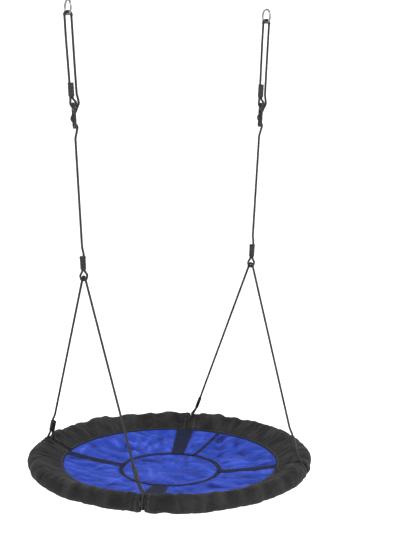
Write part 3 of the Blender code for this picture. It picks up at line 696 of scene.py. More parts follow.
def braided_rope(name, route, finish):
    """An eight-strand diamond braid, four strands winding each way, each passing over and under."""
    spacing, sides, strands, lay = 1.0 * MM, 26, 4, 26 * MM
    relief, mean_height = 0.42 * MM, 0.72
    line = eased(evenly(route, spacing), 2.4 * MM, spacing)
    run = np.arange(len(line))[:, None] * spacing
    around = np.arange(sides)[None, :] / sides
    one_way = strands * around + run * strands / lay
    other_way = strands * around - run * strands / lay
    part_one, part_other = one_way % 1, other_way % 1
    on_top = (np.floor(one_way) + np.floor(other_way)) % 2 == 0
    across = np.where(on_top, part_one, part_other)
    along = np.where(on_top, part_other, part_one)
    height = np.sqrt(np.sin(math.pi * across)) * (0.55 + 0.45 * np.sin(math.pi * along))
    radii = ROPE_RADIUS + relief * (height - mean_height)
    piece = swept(name, line, radii, finish)
    return piece, line


def ropes(finish):
    for side, sign in SIDES:
        turned, length = hanger_frame(sign)
        route = [turned @ Vector((x, 0, z)) for x, z in hanger_route(length)]
        declare_rope(f"hanger_rope_{side}_braid", route, f"{side}_hanger", f"hanger_rope_{side}", finish)
        _, _, pivot, down, back_turn, _ = leg_directions(sign, 1)
        front_turn = leg_directions(sign, -1)[4]
        bend = []
        for x, z in circle_points((0, 0), LEG_BEND, front_turn - math.pi, math.pi - back_turn, 19):
            bend.append(pivot - down * x + Vector((0, z, 0)))
        route = leg_end(sign, -1) + bend + list(reversed(leg_end(sign, 1)))
        declare_rope(f"leg_rope_{side}_braid", route, "seat", f"leg_rope_{side}", finish)


def declare_rope(name, route, body, cad_node, finish):
    piece, line = braided_rope(name, route, finish)
    hand_over(piece, body, cad_node)
    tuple(line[0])


# ---------------------------------------------------------------- fittings


def hook_rings(finish):
    """Drawn wire rings, butt-welded on top, where the weld stands a little proud."""
    for side, sign in SIDES:
        turns = np.linspace(0, 2 * math.pi, 144, endpoint=False)
        outwards = np.stack([np.zeros(144), np.cos(turns), np.sin(turns)], axis=1)
        middle = np.array([sign * HANG_HALF, 0, 0]) + HOOK_RING_RADIUS * outwards
        weld = np.exp(-(((turns - math.pi / 2) / 0.10) ** 2)) * (1 + 0.3 * np.cos(turns * 90))
        wire = HOOK_WIRE + 0.35 * MM * weld
        around = np.linspace(0, 2 * math.pi, 28, endpoint=False)
        sideways = np.array([1.0, 0.0, 0.0])
        spokes = np.cos(around)[None, :, None] * outwards[:, None] + np.sin(around)[None, :, None] * sideways
        rows = middle[:, None] + spokes * wire[:, None, None]
        piece = lattice(f"hook_ring_{side}_wire", rows, finish, wrap_rows=True, wrap_columns=True)
        hand_over(outward_faces(piece), "hook_rings", f"hook_ring_{side}")


def outward_faces(piece):
    """Turns a closed skin's faces to point outwards."""
    shape = bmesh.new()
    shape.from_mesh(piece.data)
    bmesh.ops.recalc_face_normals(shape, faces=shape.faces)
    shape.to_mesh(piece.data)
    shape.free()
    piece.data.shade_smooth()
    return piece


def bent_sleeve(name, turned, bend_radius, outside, start, end, finish):
    """A moulded nylon tube bent round an arc in the frame's XZ plane, with rolled lips."""
    count, sides = 56, 36
    share = np.linspace(0, 1, count)
    turns = start + (end - start) * share
    lip_rows, roll = 2.2, 0.35 * MM
    lip = np.exp(-((share * count / lip_rows) ** 2)) + np.exp(-(((1 - share) * count / lip_rows) ** 2))
    outer = outside - roll + roll * lip
    inner = SLEEVE_BORE - 0.05 * MM + roll * lip
    around = np.linspace(0, 2 * math.pi, sides, endpoint=False)
    rows = []
    for radii, order in ((outer, range(count)), (inner, reversed(range(count)))):
        for k in order:
            out = Vector((math.cos(turns[k]), 0, math.sin(turns[k])))
            ring = []
            for a in around:
                spot = out * (bend_radius + radii[k] * math.cos(a)) + Vector((0, radii[k] * math.sin(a), 0))
                ring.append(turned @ spot)
            rows.append(ring)
    return outward_faces(lattice(name, np.array(rows), finish, wrap_rows=True, wrap_columns=True))


def sleeves(finish):
    for side, sign in SIDES:
        top = Matrix.Translation((sign * HANG_HALF, 0, -BIGHT_DROP))
        piece = bent_sleeve(
            f"hook_sleeve_{side}_moulding", top, BIGHT_RADIUS, HOOK_SLEEVE_RADIUS, 0, math.pi, finish
        )
        hand_over(piece, "rope_tops", f"hook_sleeve_{side}")
        turned, length = hanger_frame(sign)
        eye = turned @ Matrix.Translation((0, 0, EYE_RADIUS - length))
        ends = (-math.pi / 2 - EYE_SLEEVE_SPREAD, -math.pi / 2 + EYE_SLEEVE_SPREAD)
        piece = bent_sleeve(
            f"eye_sleeve_{side}_moulding", eye, EYE_RADIUS, EYE_SLEEVE_RADIUS, *ends, finish
        )
        hand_over(piece, "left_eye" if side == "left" else "right_hanger", f"eye_sleeve_{side}")


def stadium_ring(half_x, half_y, count):
    """Points round a stadium, evenly in angle at its round ends and along its straight sides."""
    straight = half_x - half_y
    points = []
    arc = count // 2
    for side in (1, -1):
        for k in range(arc):
            turn = -math.pi / 2 + math.pi * k / (arc - 1)
            points.append((side * (straight + half_y * math.cos(turn)), side * half_y * math.sin(turn)))
    return points


def ferrule(name, turned, collar, finish):
    """A pressed ferrule in a moulded jacket: rounded ends, three crimp rings and sometimes a collar."""
    half, rounding, lip = FERRULE_LENGTH / 2, 1.6 * MM, 0.5 * MM
    crimps, crimp_width, crimp_depth = (-12 * MM, 0.0, 12 * MM), 1.1 * MM, 0.55 * MM
    collar_length, collar_height, steps = 9 * MM, 0.7 * MM, 72
    end = []
    for k in range(7):
        turn = math.pi / 2 * (6 - k) / 6
        end.append((-half + rounding * (1 - math.sin(turn)), -rounding * (1 - math.cos(turn))))
    profile = list(end)
    for k in range(steps + 1):
        z = -half + rounding + (FERRULE_LENGTH - 2 * rounding) * k / steps
        groove = sum(math.exp(-(((z - at) / crimp_width) ** 2)) for at in crimps)
        swell = collar_height if collar and z > half - collar_length else 0.0
        profile.append((z, swell - crimp_depth * groove))
    profile += [(-z, drop) for z, drop in reversed(end)]
    rows = []
    for z, offset in profile:
        ring = stadium_ring(FERRULE_HALF[0] + offset, FERRULE_HALF[1] + offset, 44)
        rows.append([turned @ Vector((x, y, z)) for x, y in ring])
    mouth = half - 0.8 * MM
    for z, grow in ((half, lip), (mouth, 0), (-mouth, 0), (-half, lip)):
        ring = stadium_ring(BORE_HALF[0] + grow, BORE_HALF[1] + grow, 44)
        rows.append([turned @ Vector((x, y, z)) for x, y in ring])
    return outward_faces(lattice(name, np.array(rows), finish, wrap_rows=True, wrap_columns=True))


def ferrules(finish):
    for side, sign in SIDES:
        turned, length = hanger_frame(sign)
        foot = EYE_RADIUS - length + EYE_NECK + FERRULE_LENGTH / 2
        spot = turned @ Matrix.Translation((0, 0, foot))
        piece = ferrule(f"foot_ferrule_{side}_jacket", spot, True, finish)
        hand_over(piece, f"{side}_hanger", f"foot_ferrule_{side}")
        top = -ADJUSTER_DROP + TOP_EYE_RADIUS + EYE_NECK + FERRULE_LENGTH / 2
        spot = turned @ Matrix.Translation((TOP_FERRULE_SHIFT, 0, top))
        piece = ferrule(f"top_ferrule_{side}_jacket", spot, False, finish)
        hand_over(piece, f"{side}_hanger", f"top_ferrule_{side}")
        for end, way in (("front", -1), ("back", 1)):
            outward, on_ring, _, _, _, line = leg_directions(sign, way)
            across = (outward - outward.dot(line) * line).normalized()
            middle = on_ring + line * (LOOP_RISE + FERRULE_LENGTH / 2)
            axes = Matrix((across, line.cross(across), line)).transposed().to_4x4()
            spot = Matrix.Translation(middle) @ axes
            piece = ferrule(f"leg_ferrule_{end}_{side}_jacket", spot, False, finish)
            hand_over(piece, "seat", f"leg_ferrule_{end}_{side}")


def slot_outline(half_width, half_height, middle):
    """An upright slot with round ends."""
    outline = []
    for way, start in ((1, 0), (-1, math.pi)):
        centre = (0, middle + way * (half_height - half_width))
        outline += circle_points(centre, half_width, start, start + math.pi, 15)
    return outline


def adjusters(finish):
    """Moulded plates with three slots, every edge rounded where rope runs over it."""
    top, upper, lower = slot_heights()
    head = top + TOP_SLOT / 2 + TOP_BAR
    foot = lower - LACE_SLOT / 2 - PLATE_BAR
    edge, corner = 1.1 * MM, 6 * MM
    for side, sign in SIDES:
        curve = bpy.data.curves.new("plate", "CURVE")
        curve.dimensions = "2D"
        curve.fill_mode = "BOTH"
        curve.extrude = PLATE_THICK / 2 - edge
        curve.bevel_depth = edge
        curve.bevel_resolution = 4
        curve.offset = -edge
        outline = []
        for y, z, start in ((1, 1, 0), (-1, 1, 90), (-1, -1, 180), (1, -1, 270)):
            middle = (y * (PLATE_WIDTH / 2 - corner), (head - corner) if z > 0 else (foot + corner))
            first = math.radians(start)
            outline += circle_points(middle, corner, first, first + math.pi / 2, 9)
        slots = (TOP_SLOT, top), (LACE_SLOT, upper), (LACE_SLOT, lower)
        holes = [slot_outline(SLOT_WIDTH / 2, height / 2, at)[::-1] for height, at in slots]
        for points in (outline, *holes):
            spline = curve.splines.new("POLY")
            spline.points.add(len(points) - 1)
            spline.use_cyclic_u = True
            for knot, point in zip(spline.points, points):
                knot.co = (*point, 0.0, 1.0)
        holder = placed("plate", curve)
        graph = bpy.context.evaluated_depsgraph_get()
        mesh = bpy.data.meshes.new_from_object(holder.evaluated_get(graph), depsgraph=graph)
        bpy.data.objects.remove(holder)
        turned, _ = hanger_frame(sign)
        mesh.transform(turned @ Matrix.Rotation(math.pi / 2, 4, "Z") @ Matrix.Rotation(math.pi / 2, 4, "X"))
        mesh.materials.clear()
        mesh.materials.append(finish)
        piece = placed(f"height_adjuster_{side}_moulding", mesh)
        shape = bmesh.new()
        shape.from_mesh(mesh)
        bmesh.ops.remove_doubles(shape, verts=shape.verts, dist=0.01 * MM)
        bmesh.ops.recalc_face_normals(shape, faces=shape.faces)
        shape.to_mesh(mesh)
        shape.free()
        mesh.shade_smooth()
        mesh.set_sharp_from_angle(angle=math.radians(40))
        hand_over(piece, f"{side}_hanger", f"height_adjuster_{side}")


# ---------------------------------------------------------------- cloth


def relaxed(obj, held, pressure, growth, frames, limit):
    """The object's points after its cloth has grown, puffed and buckled between its held points.

    held is one weight for each point, growth the share of spare cloth, and limit how far a point moves.
    """
    start = points_of(obj.data)
    group = obj.vertex_groups.new(name="held")
    for index, weight in enumerate(held):
        if weight > 0:
            group.add([index], float(weight), "REPLACE")
    cloth = obj.modifiers.new("cloth", "CLOTH")
    settings = cloth.settings
    settings.quality = 6
    settings.mass = 0.25
    settings.tension_stiffness = 25
    settings.compression_stiffness = 25
    settings.shear_stiffness = 12
    settings.bending_stiffness = 0.35
    settings.tension_damping = 8
    settings.compression_damping = 8
    settings.air_damping = 2
    settings.vertex_group_mass = "held"
    settings.pin_stiffness = 3
    settings.shrink_min = -growth
    settings.shrink_max = -growth
    settings.use_pressure = True
    settings.uniform_pressure_force = pressure
    settings.effector_weights.gravity = 0
    cloth.collision_settings.use_collision = False
    cloth.point_cache.frame_start = 1
    cloth.point_cache.frame_end = frames
    for number in range(1, frames + 1):
        bpy.context.scene.frame_set(number)
    graph = bpy.context.evaluated_depsgraph_get()
    moved = points_of(obj.evaluated_get(graph).data) - start
    obj.modifiers.clear()
    obj.vertex_groups.clear()
    bpy.context.scene.frame_set(1)
    far = np.linalg.norm(moved, axis=1)[:, None]
    return start + moved * (limit * np.tanh(far / limit) / np.maximum(far, 1e-9))


def ripple(place, scale, seed):
    """Smooth noise from -1 to 1 at a place, with blotches about scale metres across."""
    return noise.noise(Vector(place) / scale + Vector((seed, seed * 0.37, -seed)))


def cover_section(spacing):
    """The cover's section at an even spacing, from the mat's seam over the top and back underneath."""
    top = ROUND_TOP + 2 * math.pi
    section = [(SEAM, 0, SEAM_HIGH)]
    section += [(x, 0, z) for x, z in circle_points((0, 0), COVER_RADIUS, top, ROUND_FOOT, 60)]
    section.append((SEAM, 0, SEAM_LOW))
    return evenly(section, spacing)[:, (0, 2)]


def cover(name, start, end, finish, seed):
    """One padded cover: cloth sewn into a sleeve, hemmed at both ends and drawn in on to the foam.

    Short puckers, long folds and sharp ridges grow towards the slack top; gathers start at the hems and
    at the mat's seam. Each is smooth noise of its own size, stretched across the ring.
    """
    spacing, hem_draw = 5.2 * MM, 0.055
    section = cover_section(spacing)
    run = (end - start) * RING_RADIUS
    count = int(run / spacing)
    turns = np.linspace(start, end, count)
    from_end = np.minimum(np.arange(count), np.arange(count)[::-1]) * run / (count - 1)
    away = section / np.linalg.norm(section, axis=1)[:, None]
    height = (section[:, 1] + COVER_RADIUS) / (2 * COVER_RADIUS)
    rows, uvs, folds = [], [], []
    around = np.arange(len(section)) * spacing
    for k in range(count):
        drawn = 1 - hem_draw * math.exp(-((from_end[k] / (9 * MM)) ** 2))
        ring = section * drawn
        lift = np.empty(len(section))
        along = turns[k] * RING_RADIUS
        gather_here = math.exp(-from_end[k] / (28 * MM))
        for j, run_round in enumerate(around):
            pucker = ripple((along, run_round * 0.28, 0), 17 * MM, seed)
            fold = ripple((along, run_round * 0.6, 0), 46 * MM, seed + 5)
            ridge = 0.5 - abs(ripple((along, run_round * 0.35, 0), 38 * MM, seed + 21)) * 2
            gather = gather_here * ripple((along * 0.35, run_round, 0), 9 * MM, seed + 9)
            seam_gather = ripple((along, run_round * 0.15, 0), 10 * MM, seed + 31)
            seam_gather *= math.exp(-run_round / (34 * MM))
            slack = 0.2 + 0.8 * height[j]
            lift[j] = slack * (2.6 * pucker + 7.5 * fold + 2.6 * ridge) * MM
            lift[j] += (2.0 * gather + 3.4 * seam_gather) * MM
        edge = np.minimum(np.arange(len(section)), np.arange(len(section))[::-1]) * spacing
        lift *= np.clip(edge / (14 * MM), 0, 1)
        ring = ring + away * lift[:, None]
        radius = RING_RADIUS + ring[:, 0]
        spots = [radius * math.cos(turns[k]), radius * math.sin(turns[k]), ring[:, 1]]
        rows.append(np.stack(spots, axis=1))
        uvs.append(np.stack([np.full(len(section), turns[k] * RING_RADIUS), around], axis=1))
        folds.append(lift / (4 * MM))
    folds = [folds[0]] * PANEL_ROWS + folds + [folds[-1]] * PANEL_ROWS
    rows, uvs = with_end_panels(rows, uvs, start, end)
    rows = np.array(rows) + np.array(SEAT)
    piece = lattice(name, rows, finish, uvs=np.array(uvs))
    keep_folds(piece.data, np.array(folds))
    held = np.zeros(rows.shape[:2])
    held[:, :2] = held[:, -2:] = 1
    held[:PANEL_ROWS + 1] = held[-PANEL_ROWS - 1:] = 1
    held[PANEL_ROWS + 1] = held[-PANEL_ROWS - 2] = 0.4
    points = relaxed(piece, held.ravel(), 1.0, 0.05, 16, 4 * MM)
    put_points(piece.data, clear_of_foam(points))
    bpy.context.view_layer.update()
    baked(made_finer(piece))
    put_points(piece.data, clear_of_foam(points_of(piece.data)))
    return baked(given_thickness(piece, 0.9 * MM, 1))


PANEL_ROWS = 4


def with_end_panels(rows, uvs, start, end):
    """Adds rows that carry each end of the cover in over the foam's end, as a sewn panel."""
    for first in (True, False):
        turn = start if first else end
        outward = np.array([math.cos(turn), math.sin(turn), 0.0])
        past = np.array([math.sin(turn), -math.cos(turn), 0.0]) * (1 if first else -1)
        middle = outward * RING_RADIUS
        rim, pairs = (rows[0], uvs[0]) if first else (rows[-1], uvs[-1])
        spokes = rim - middle
        inner = middle + spokes / np.linalg.norm(spokes, axis=1)[:, None] * (FOAM_RADIUS + 0.4 * MM)
        for step in range(1, PANEL_ROWS + 1):
            share = step / PANEL_ROWS
            belly = past * (2.4 * MM * math.sin(math.pi * share))
            row = rim + (inner - rim) * share + belly
            pair = pairs + np.array([(-1 if first else 1) * 12 * MM * share, 0])
            if first:
                rows, uvs = [row] + list(rows), [pair] + list(uvs)
            else:
                rows, uvs = list(rows) + [row], list(uvs) + [pair]
    return rows, uvs


def clear_of_foam(points):
    """Keeps cloth off the foam, by moving points outwards from the tube's centreline."""
    local = points - np.array(SEAT)
    flat = np.linalg.norm(local[:, :2], axis=1)
    x, z = flat - RING_RADIUS, local[:, 2]
    reach = np.hypot(x, z)
    needed = FOAM_RADIUS + 0.5 * MM
    scale = np.where(reach < needed, needed / np.maximum(reach, 1e-6), 1.0)
    radius = RING_RADIUS + x * scale
    local[:, :2] *= (radius / flat)[:, None]
    local[:, 2] = z * scale
    return local + np.array(SEAT)


def soft_sections():
    gap = ROPE_GAP / 2 / RING_RADIUS
    places = [SEAT_TURN + turn for turn in (-LEG_ANGLE, LEG_ANGLE, math.pi - LEG_ANGLE, math.pi + LEG_ANGLE)]
    places.append(places[0] + 2 * math.pi)
    names = ("right", "back", "left", "front")
    return [(name, places[k] + gap, places[k + 1] - gap) for k, name in enumerate(names)]


def ring_band(name, start, end, profile, finish, step):
    """A closed section in (outwards, up) from the ring's middle, carried round an arc, with end caps."""
    count = max(2, int(abs(end - start) * RING_RADIUS / step))
    turns = np.linspace(start, end, count)
    profile = np.array(profile)
    rows = np.empty((count, len(profile), 3))
    for k, turn in enumerate(turns):
        radius = RING_RADIUS + profile[:, 0]
        rows[k, :, 0] = radius * math.cos(turn)
        rows[k, :, 1] = radius * math.sin(turn)
        rows[k, :, 2] = profile[:, 1] - SEAT_DROP
    uvs = np.stack(np.meshgrid(turns * RING_RADIUS, run_along(profile), indexing="ij"), axis=2)
    return outward_faces(lattice(name, rows, finish, wrap_columns=True, caps=True, uvs=uvs))


def tube_and_foam(coat, foam):
    shy = 0.3 * MM / RING_RADIUS
    quarters = ("back_right", "back_left", "front_left", "front_right")
    for index, place in enumerate(quarters):
        start, end = math.pi / 2 * index + shy, math.pi / 2 * (index + 1) - shy
        outer = circle_points((0, 0), TUBE_RADIUS, 0, 2 * math.pi, 41)[:-1]
        piece = ring_band(f"ring_tube_{place}_coated", start, end, outer, coat, 6 * MM)
        hand_over(piece, "seat", f"ring_tube_{place}")
    for name, start, end in soft_sections():
        piece = foam_sleeve(f"foam_{name}_sleeve", start, end, foam)
        hand_over(piece, "seat", f"foam_{name}")


def foam_sleeve(name, start, end, finish):
    """A foam tube slit along its inner side, its ends cut a little unevenly."""
    count = int((end - start) * RING_RADIUS / (7 * MM))
    turns = np.linspace(start, end, count)
    slit = math.radians(4)
    outside = circle_points((0, 0), FOAM_RADIUS, -math.pi + slit, math.pi - slit, 40)
    inside = circle_points((0, 0), FOAM_BORE, math.pi - slit * 1.6, -math.pi + slit * 1.6, 32)
    profile = np.array(outside + inside)
    rows = np.empty((count, len(profile), 3))
    for k, turn in enumerate(turns):
        for j, (x, z) in enumerate(profile):
            dent = 1 + 0.012 * ripple((turn * RING_RADIUS, x, z), 30 * MM, 3.0)
            radius = RING_RADIUS + x * dent
            rows[k, j] = (radius * math.cos(turn), radius * math.sin(turn), z * dent - SEAT_DROP)
    return outward_faces(lattice(name, rows, finish, wrap_columns=True, caps=True))


def mat_top(radius):
    """Height of the mat's taut upper face above the ring's centreline, below it."""
    share = np.minimum(np.asarray(radius) / MAT_RADIUS, 1.0)
    return -EDGE_DROP - MAT_SAG * (1 - share**2)


def web_distance(x, y):
    """How far a point of the mat is from the nearest webbing's edge; under zero beneath webbing."""
    radius = np.hypot(x, y)
    nearest = np.abs(radius - WEB_RING_RADIUS) - WEB_RING_WIDTH / 2
    for _, degrees, narrow, broad in SPOKES:
        turn = math.radians(degrees)
        along = x * math.cos(turn) + y * math.sin(turn)
        across = np.abs(-x * math.sin(turn) + y * math.cos(turn))
        share = np.clip((along - WEB_RING_RADIUS) / (MAT_RADIUS - WEB_RING_RADIUS), 0, 1)
        gap = across - (narrow + (broad - narrow) * share) / 2
        nearest = np.where(along > WEB_RING_RADIUS, np.minimum(nearest, gap), nearest)
    return nearest


def creases(x, y):
    """Sharp-crested folds, most of them running outwards or aslant, in millimetres."""
    draw = random.Random(4)
    height = np.zeros_like(x)
    for _ in range(150):
        radius = MAT_RADIUS * math.sqrt(draw.uniform(0.02, 0.98))
        around = draw.uniform(0, 2 * math.pi)
        heading = around + draw.gauss(0, 0.5) if draw.random() < 0.6 else draw.uniform(0, math.pi)
        half_length = draw.uniform(22, 75) * MM
        width = draw.uniform(4.0, 10.0) * MM
        rise = draw.choice((-1, 1)) * draw.uniform(1.8, 5.0)
        bow = draw.uniform(-1.6, 1.6)
        dx, dy = x - radius * math.cos(around), y - radius * math.sin(around)
        along = dx * math.cos(heading) + dy * math.sin(heading)
        across = -dx * math.sin(heading) + dy * math.cos(heading) - bow * along**2
        taper = np.clip(1 - (along / half_length) ** 2, 0, 1)
        height += rise * taper * np.exp(-np.abs(across) / (width * (0.35 + 0.65 * taper)))
    return height


def mat(finish):
    """The blue mat: cloth sewn down along its webbing and puckered between, its edge under the covers."""
    count, reach = 111, MAT_RADIUS + 4 * MM
    flat = np.linspace(-1, 1, count)
    across, up = np.meshgrid(flat, flat, indexing="ij")
    x = reach * across * np.sqrt(1 - up**2 / 2)
    y = reach * up * np.sqrt(1 - across**2 / 2)
    radius = np.hypot(x, y)
    off_web = web_distance(x, y)
    free = np.clip(off_web / (16 * MM), 0, 1) * np.clip((MAT_RADIUS - radius) / (16 * MM), 0, 1)
    waves = np.empty_like(x)
    for i in range(count):
        for j in range(count):
            turn = math.atan2(y[i, j], x[i, j])
            streak = ripple((turn * 0.30, radius[i, j] * 0.35, 0.0), 22 * MM, 2.0)
            drift = ripple((x[i, j] + 0.5 * y[i, j], y[i, j] * 0.4, 0.0), 40 * MM, 11.0)
            waves[i, j] = 1.6 * streak + 2.2 * drift
    folds = waves + creases(x, y)
    lift = free * folds * MM
    rows = np.stack([x, y, mat_top(radius) + lift - SEAT_DROP], axis=2)
    uvs = np.stack([x, y], axis=2)
    piece = lattice("mat_cloth", rows.transpose(1, 0, 2), finish, uvs=uvs.transpose(1, 0, 2))
    keep_folds(piece.data, (free * folds / 4).T)
    held = np.where((off_web < 3 * MM) | (radius > MAT_RADIUS - 5 * MM), 1.0, 0.0)
    points = relaxed(piece, held.T.ravel(), 0.6, 0.035, 16, 6 * MM)
    put_points(piece.data, points)
    baked(given_thickness(made_finer(piece), 1.0 * MM, -1))
    hand_over(piece, "seat", "mat")


def webbing_strip(left, right):
    """A tape between two matching edge lines, with rounded edges, lying just above the mat."""
    thick, crown = 1.3 * MM, 0.35 * MM
    shares = np.array([0.0, 0.04, 0.5, 0.96, 1.0])
    over = np.array([thick * 0.55, thick, thick + crown * 0.6, thick, thick * 0.55])
    rows, uvs = [], []
    run = run_along(left)
    for k in range(len(left)):
        top = left[k] + (right[k] - left[k]) * shares[:, None]
        under = top[::-1].copy()
        top[:, 2] += over
        rows.append(np.concatenate([top, under]))
        width = np.linalg.norm(right[k] - left[k])
        pairs = np.stack([np.full(5, run[k]), shares * width], axis=1)
        uvs.append(np.concatenate([pairs, pairs[::-1]]))
    return np.array(rows), np.array(uvs)


def circle_on_mat(radius, count, lift):
    turns = np.linspace(0, 2 * math.pi, count, endpoint=False)
    height = float(mat_top(radius)) + lift - SEAT_DROP
    return np.stack([radius * np.cos(turns), radius * np.sin(turns), np.full(count, height)], axis=1)


def line_on_mat(degrees, along, aside, lift):
    """A line that runs outwards on the mat, beside the direction that it follows."""
    turn = math.radians(degrees)
    x = along * math.cos(turn) - aside * math.sin(turn)
    y = along * math.sin(turn) + aside * math.cos(turn)
    return np.stack([x, y, mat_top(np.hypot(x, y)) + lift - SEAT_DROP], axis=1)


def webbing(finish):
    half_ring = WEB_RING_WIDTH / 2
    edges = [circle_on_mat(WEB_RING_RADIUS + way * half_ring, 180, WEB_CLEAR) for way in (-1, 1)]
    rows, uvs = webbing_strip(*edges)
    piece = lattice("webbing_circle_tape", rows, finish, wrap_rows=True, wrap_columns=True, uvs=uvs)
    hand_over(outward_faces(piece), "seat", "webbing_circle")
    along = np.linspace(WEB_RING_RADIUS - half_ring + 2 * MM, MAT_RADIUS + 1 * MM, 44)
    share = (along - along[0]) / (along[-1] - along[0])
    over_circle = 1.5 * MM * np.clip((WEB_RING_RADIUS + half_ring + 3 * MM - along) / (5 * MM), 0, 1)
    for name, degrees, narrow, broad in SPOKES:
        half = (narrow + (broad - narrow) * share) / 2
        edges = [line_on_mat(degrees, along, way * half, WEB_CLEAR + over_circle) for way in (-1, 1)]
        rows, uvs = webbing_strip(*edges)
        piece = lattice(f"{name}_tape", rows, finish, wrap_columns=True, caps=True, uvs=uvs)
        hand_over(outward_faces(piece), "seat", name)


def closure_tapes(finish):
    """Hook-and-loop strips that close the covers underneath, with softened edges."""
    foot = (COVER_RADIUS * math.cos(ROUND_FOOT), COVER_RADIUS * math.sin(ROUND_FOOT))
    fall = (foot[1] - SEAM_LOW) / (foot[0] - SEAM)
    inside, thick = SEAM + TAPE_INSET, 1.5 * MM
    flat = [(0, 0), (-0.4 * MM, -thick / 2), (0, -thick)]
    flat += [(TAPE_WIDTH * k / 8, -thick - 0.15 * MM * (k % 2)) for k in range(1, 8)]
    flat += [(TAPE_WIDTH, -thick), (TAPE_WIDTH + 0.4 * MM, -thick / 2), (TAPE_WIDTH, 0)]
    for name, start, end in soft_sections():
        profile = [
            (inside + x, SEAM_LOW + fall * (inside + x - SEAM) - 0.9 * MM + z) for x, z in flat
        ]
        piece = ring_band(f"closure_tape_{name}_pile", start, end, profile, finish, 5 * MM)
        hand_over(piece, "seat", f"closure_tape_{name}")


def seam_binding(finish):
    """A folded tape sewn over the raw edges where the mat meets the covers."""
    profile = circle_points((SEAM, -EDGE_DROP - 0.5 * MM), 2.6 * MM, 0, 2 * math.pi, 17)[:-1]
    piece = ring_band("seam_binding", 0, 2 * math.pi, profile, finish, 6 * MM)
    return hand_over(piece, "seat", finish="navy_webbing")


def rope_slots(finish):
    """Cloth panels that carry the covers' inner slope across the gap beside each rope loop."""
    top = np.array([SEAM - 1 * MM, -EDGE_DROP])
    slope = ROUND_TOP + 1.5 * math.pi
    length = 62 * MM
    half = (ROPE_GAP / 2 + 5 * MM) / RING_RADIUS
    for name, turn in (
        ("back_right", SEAT_TURN + LEG_ANGLE),
        ("back_left", SEAT_TURN + math.pi - LEG_ANGLE),
        ("front_left", SEAT_TURN + math.pi + LEG_ANGLE),
        ("front_right", SEAT_TURN - LEG_ANGLE),
    ):
        across = np.linspace(-half, half, 15)
        along = np.linspace(0, length, 15)
        rows = np.empty((15, 15, 3))
        for i, share in enumerate(along):
            for j, off in enumerate(across):
                sag = -3.0 * MM - 2.5 * MM * (1 - (off / half) ** 2)
                sag += 0.6 * MM * ripple((share, off * RING_RADIUS, 0), 9 * MM, turn)
                radius = RING_RADIUS + top[0] + share * math.cos(slope) - sag * math.sin(slope)
                height = top[1] + share * math.sin(slope) + sag * math.cos(slope)
                spot = turn + off
                rows[i, j] = (radius * math.cos(spot), radius * math.sin(spot), height - SEAT_DROP)
        uvs = np.stack(np.meshgrid(along, across * RING_RADIUS, indexing="ij"), axis=2)
        piece = lattice(f"rope_slot_{name}_panel", rows, finish, uvs=uvs)
        baked(given_thickness(made_finer(piece), 0.9 * MM, -1))
        hand_over(piece, "seat", finish="black_oxford_cloth")


# ---------------------------------------------------------------- stitches


def stitch_tree(finish):
    """Geometry nodes that lay short stitches along every line of the mesh they are given."""
    tree = bpy.data.node_groups.new("running_stitch", "GeometryNodeTree")
    tree.interface.new_socket("Lines", in_out="INPUT", socket_type="NodeSocketGeometry")
    for label, value in (("Pitch", 5 * MM), ("Stitch length", 3.4 * MM), ("Thread width", 0.8 * MM)):
        socket = tree.interface.new_socket(label, in_out="INPUT", socket_type="NodeSocketFloat")
        socket.default_value = value
    tree.interface.new_socket("Stitches", in_out="OUTPUT", socket_type="NodeSocketGeometry")
    given = node(tree, "NodeGroupInput").outputs
    line = node(tree, "GeometryNodeMeshToCurve", {"Mesh": given["Lines"]})
    spaced = {"Curve": line, "Length": given["Pitch"]}
    spots = node(tree, "GeometryNodeCurveToPoints", spaced, mode="LENGTH")
    width = given["Thread width"]
    size = node(tree, "ShaderNodeCombineXYZ", {"X": width, "Y": width, "Z": given["Stitch length"]})
    thread = node(tree, "GeometryNodeMeshUVSphere", {"Segments": 6, "Rings": 5, "Radius": 0.5})
    where = {"Points": spots, "Rotation": spots.outputs["Rotation"], "Instance": thread, "Scale": size}
    laid = node(tree, "GeometryNodeInstanceOnPoints", where)
    real = node(tree, "GeometryNodeRealizeInstances", {"Geometry": laid})
    smooth = node(tree, "GeometryNodeSetShadeSmooth", {"Geometry": real})
    named = node(tree, "GeometryNodeSetMaterial", {"Geometry": smooth, "Material": finish})
    node(tree, "NodeGroupOutput", {"Stitches": named})
    return tree


def stitches(name, lines, finish, record_slot):
    """One piece of stitching along many polylines, each with whether it is closed."""
    points, edges = [], []
    for line, closed in lines:
        first = len(points)
        points += [tuple(point) for point in line]
        edges += [(first + k, first + k + 1) for k in range(len(line) - 1)]
        if closed:
            edges.append((first + len(line) - 1, first))
    mesh = bpy.data.meshes.new(name)
    mesh.from_pydata(points, edges, [])
    holder = placed(name, mesh)
    sewing = holder.modifiers.new("sewing", "NODES")
    sewing.node_group = stitch_tree(finish)
    for item in sewing.node_group.interface.items_tree:
        if item.item_type == "SOCKET" and item.name == "Pitch":
            sewing[item.identifier] = 5 * MM
    baked(holder)
    holder.data.materials.clear()
    holder.data.materials.append(finish)
    hand_over(holder, "seat", finish=record_slot)


def skin_point(skin, turn, x, z):
    """Where the cover's outer skin lies at a turn, in the direction (x, z) from the tube's centreline."""
    outward = Vector((math.cos(turn), math.sin(turn), 0))
    centre = SEAT + outward * RING_RADIUS
    away = outward * x + Vector((0, 0, z))
    origin = centre + away * (1 + 40 * MM / away.length)
    place, normal, _, _ = skin.ray_cast(origin, -away.normalized())
    return place + away.normalized() * 0.3 * MM if place else None


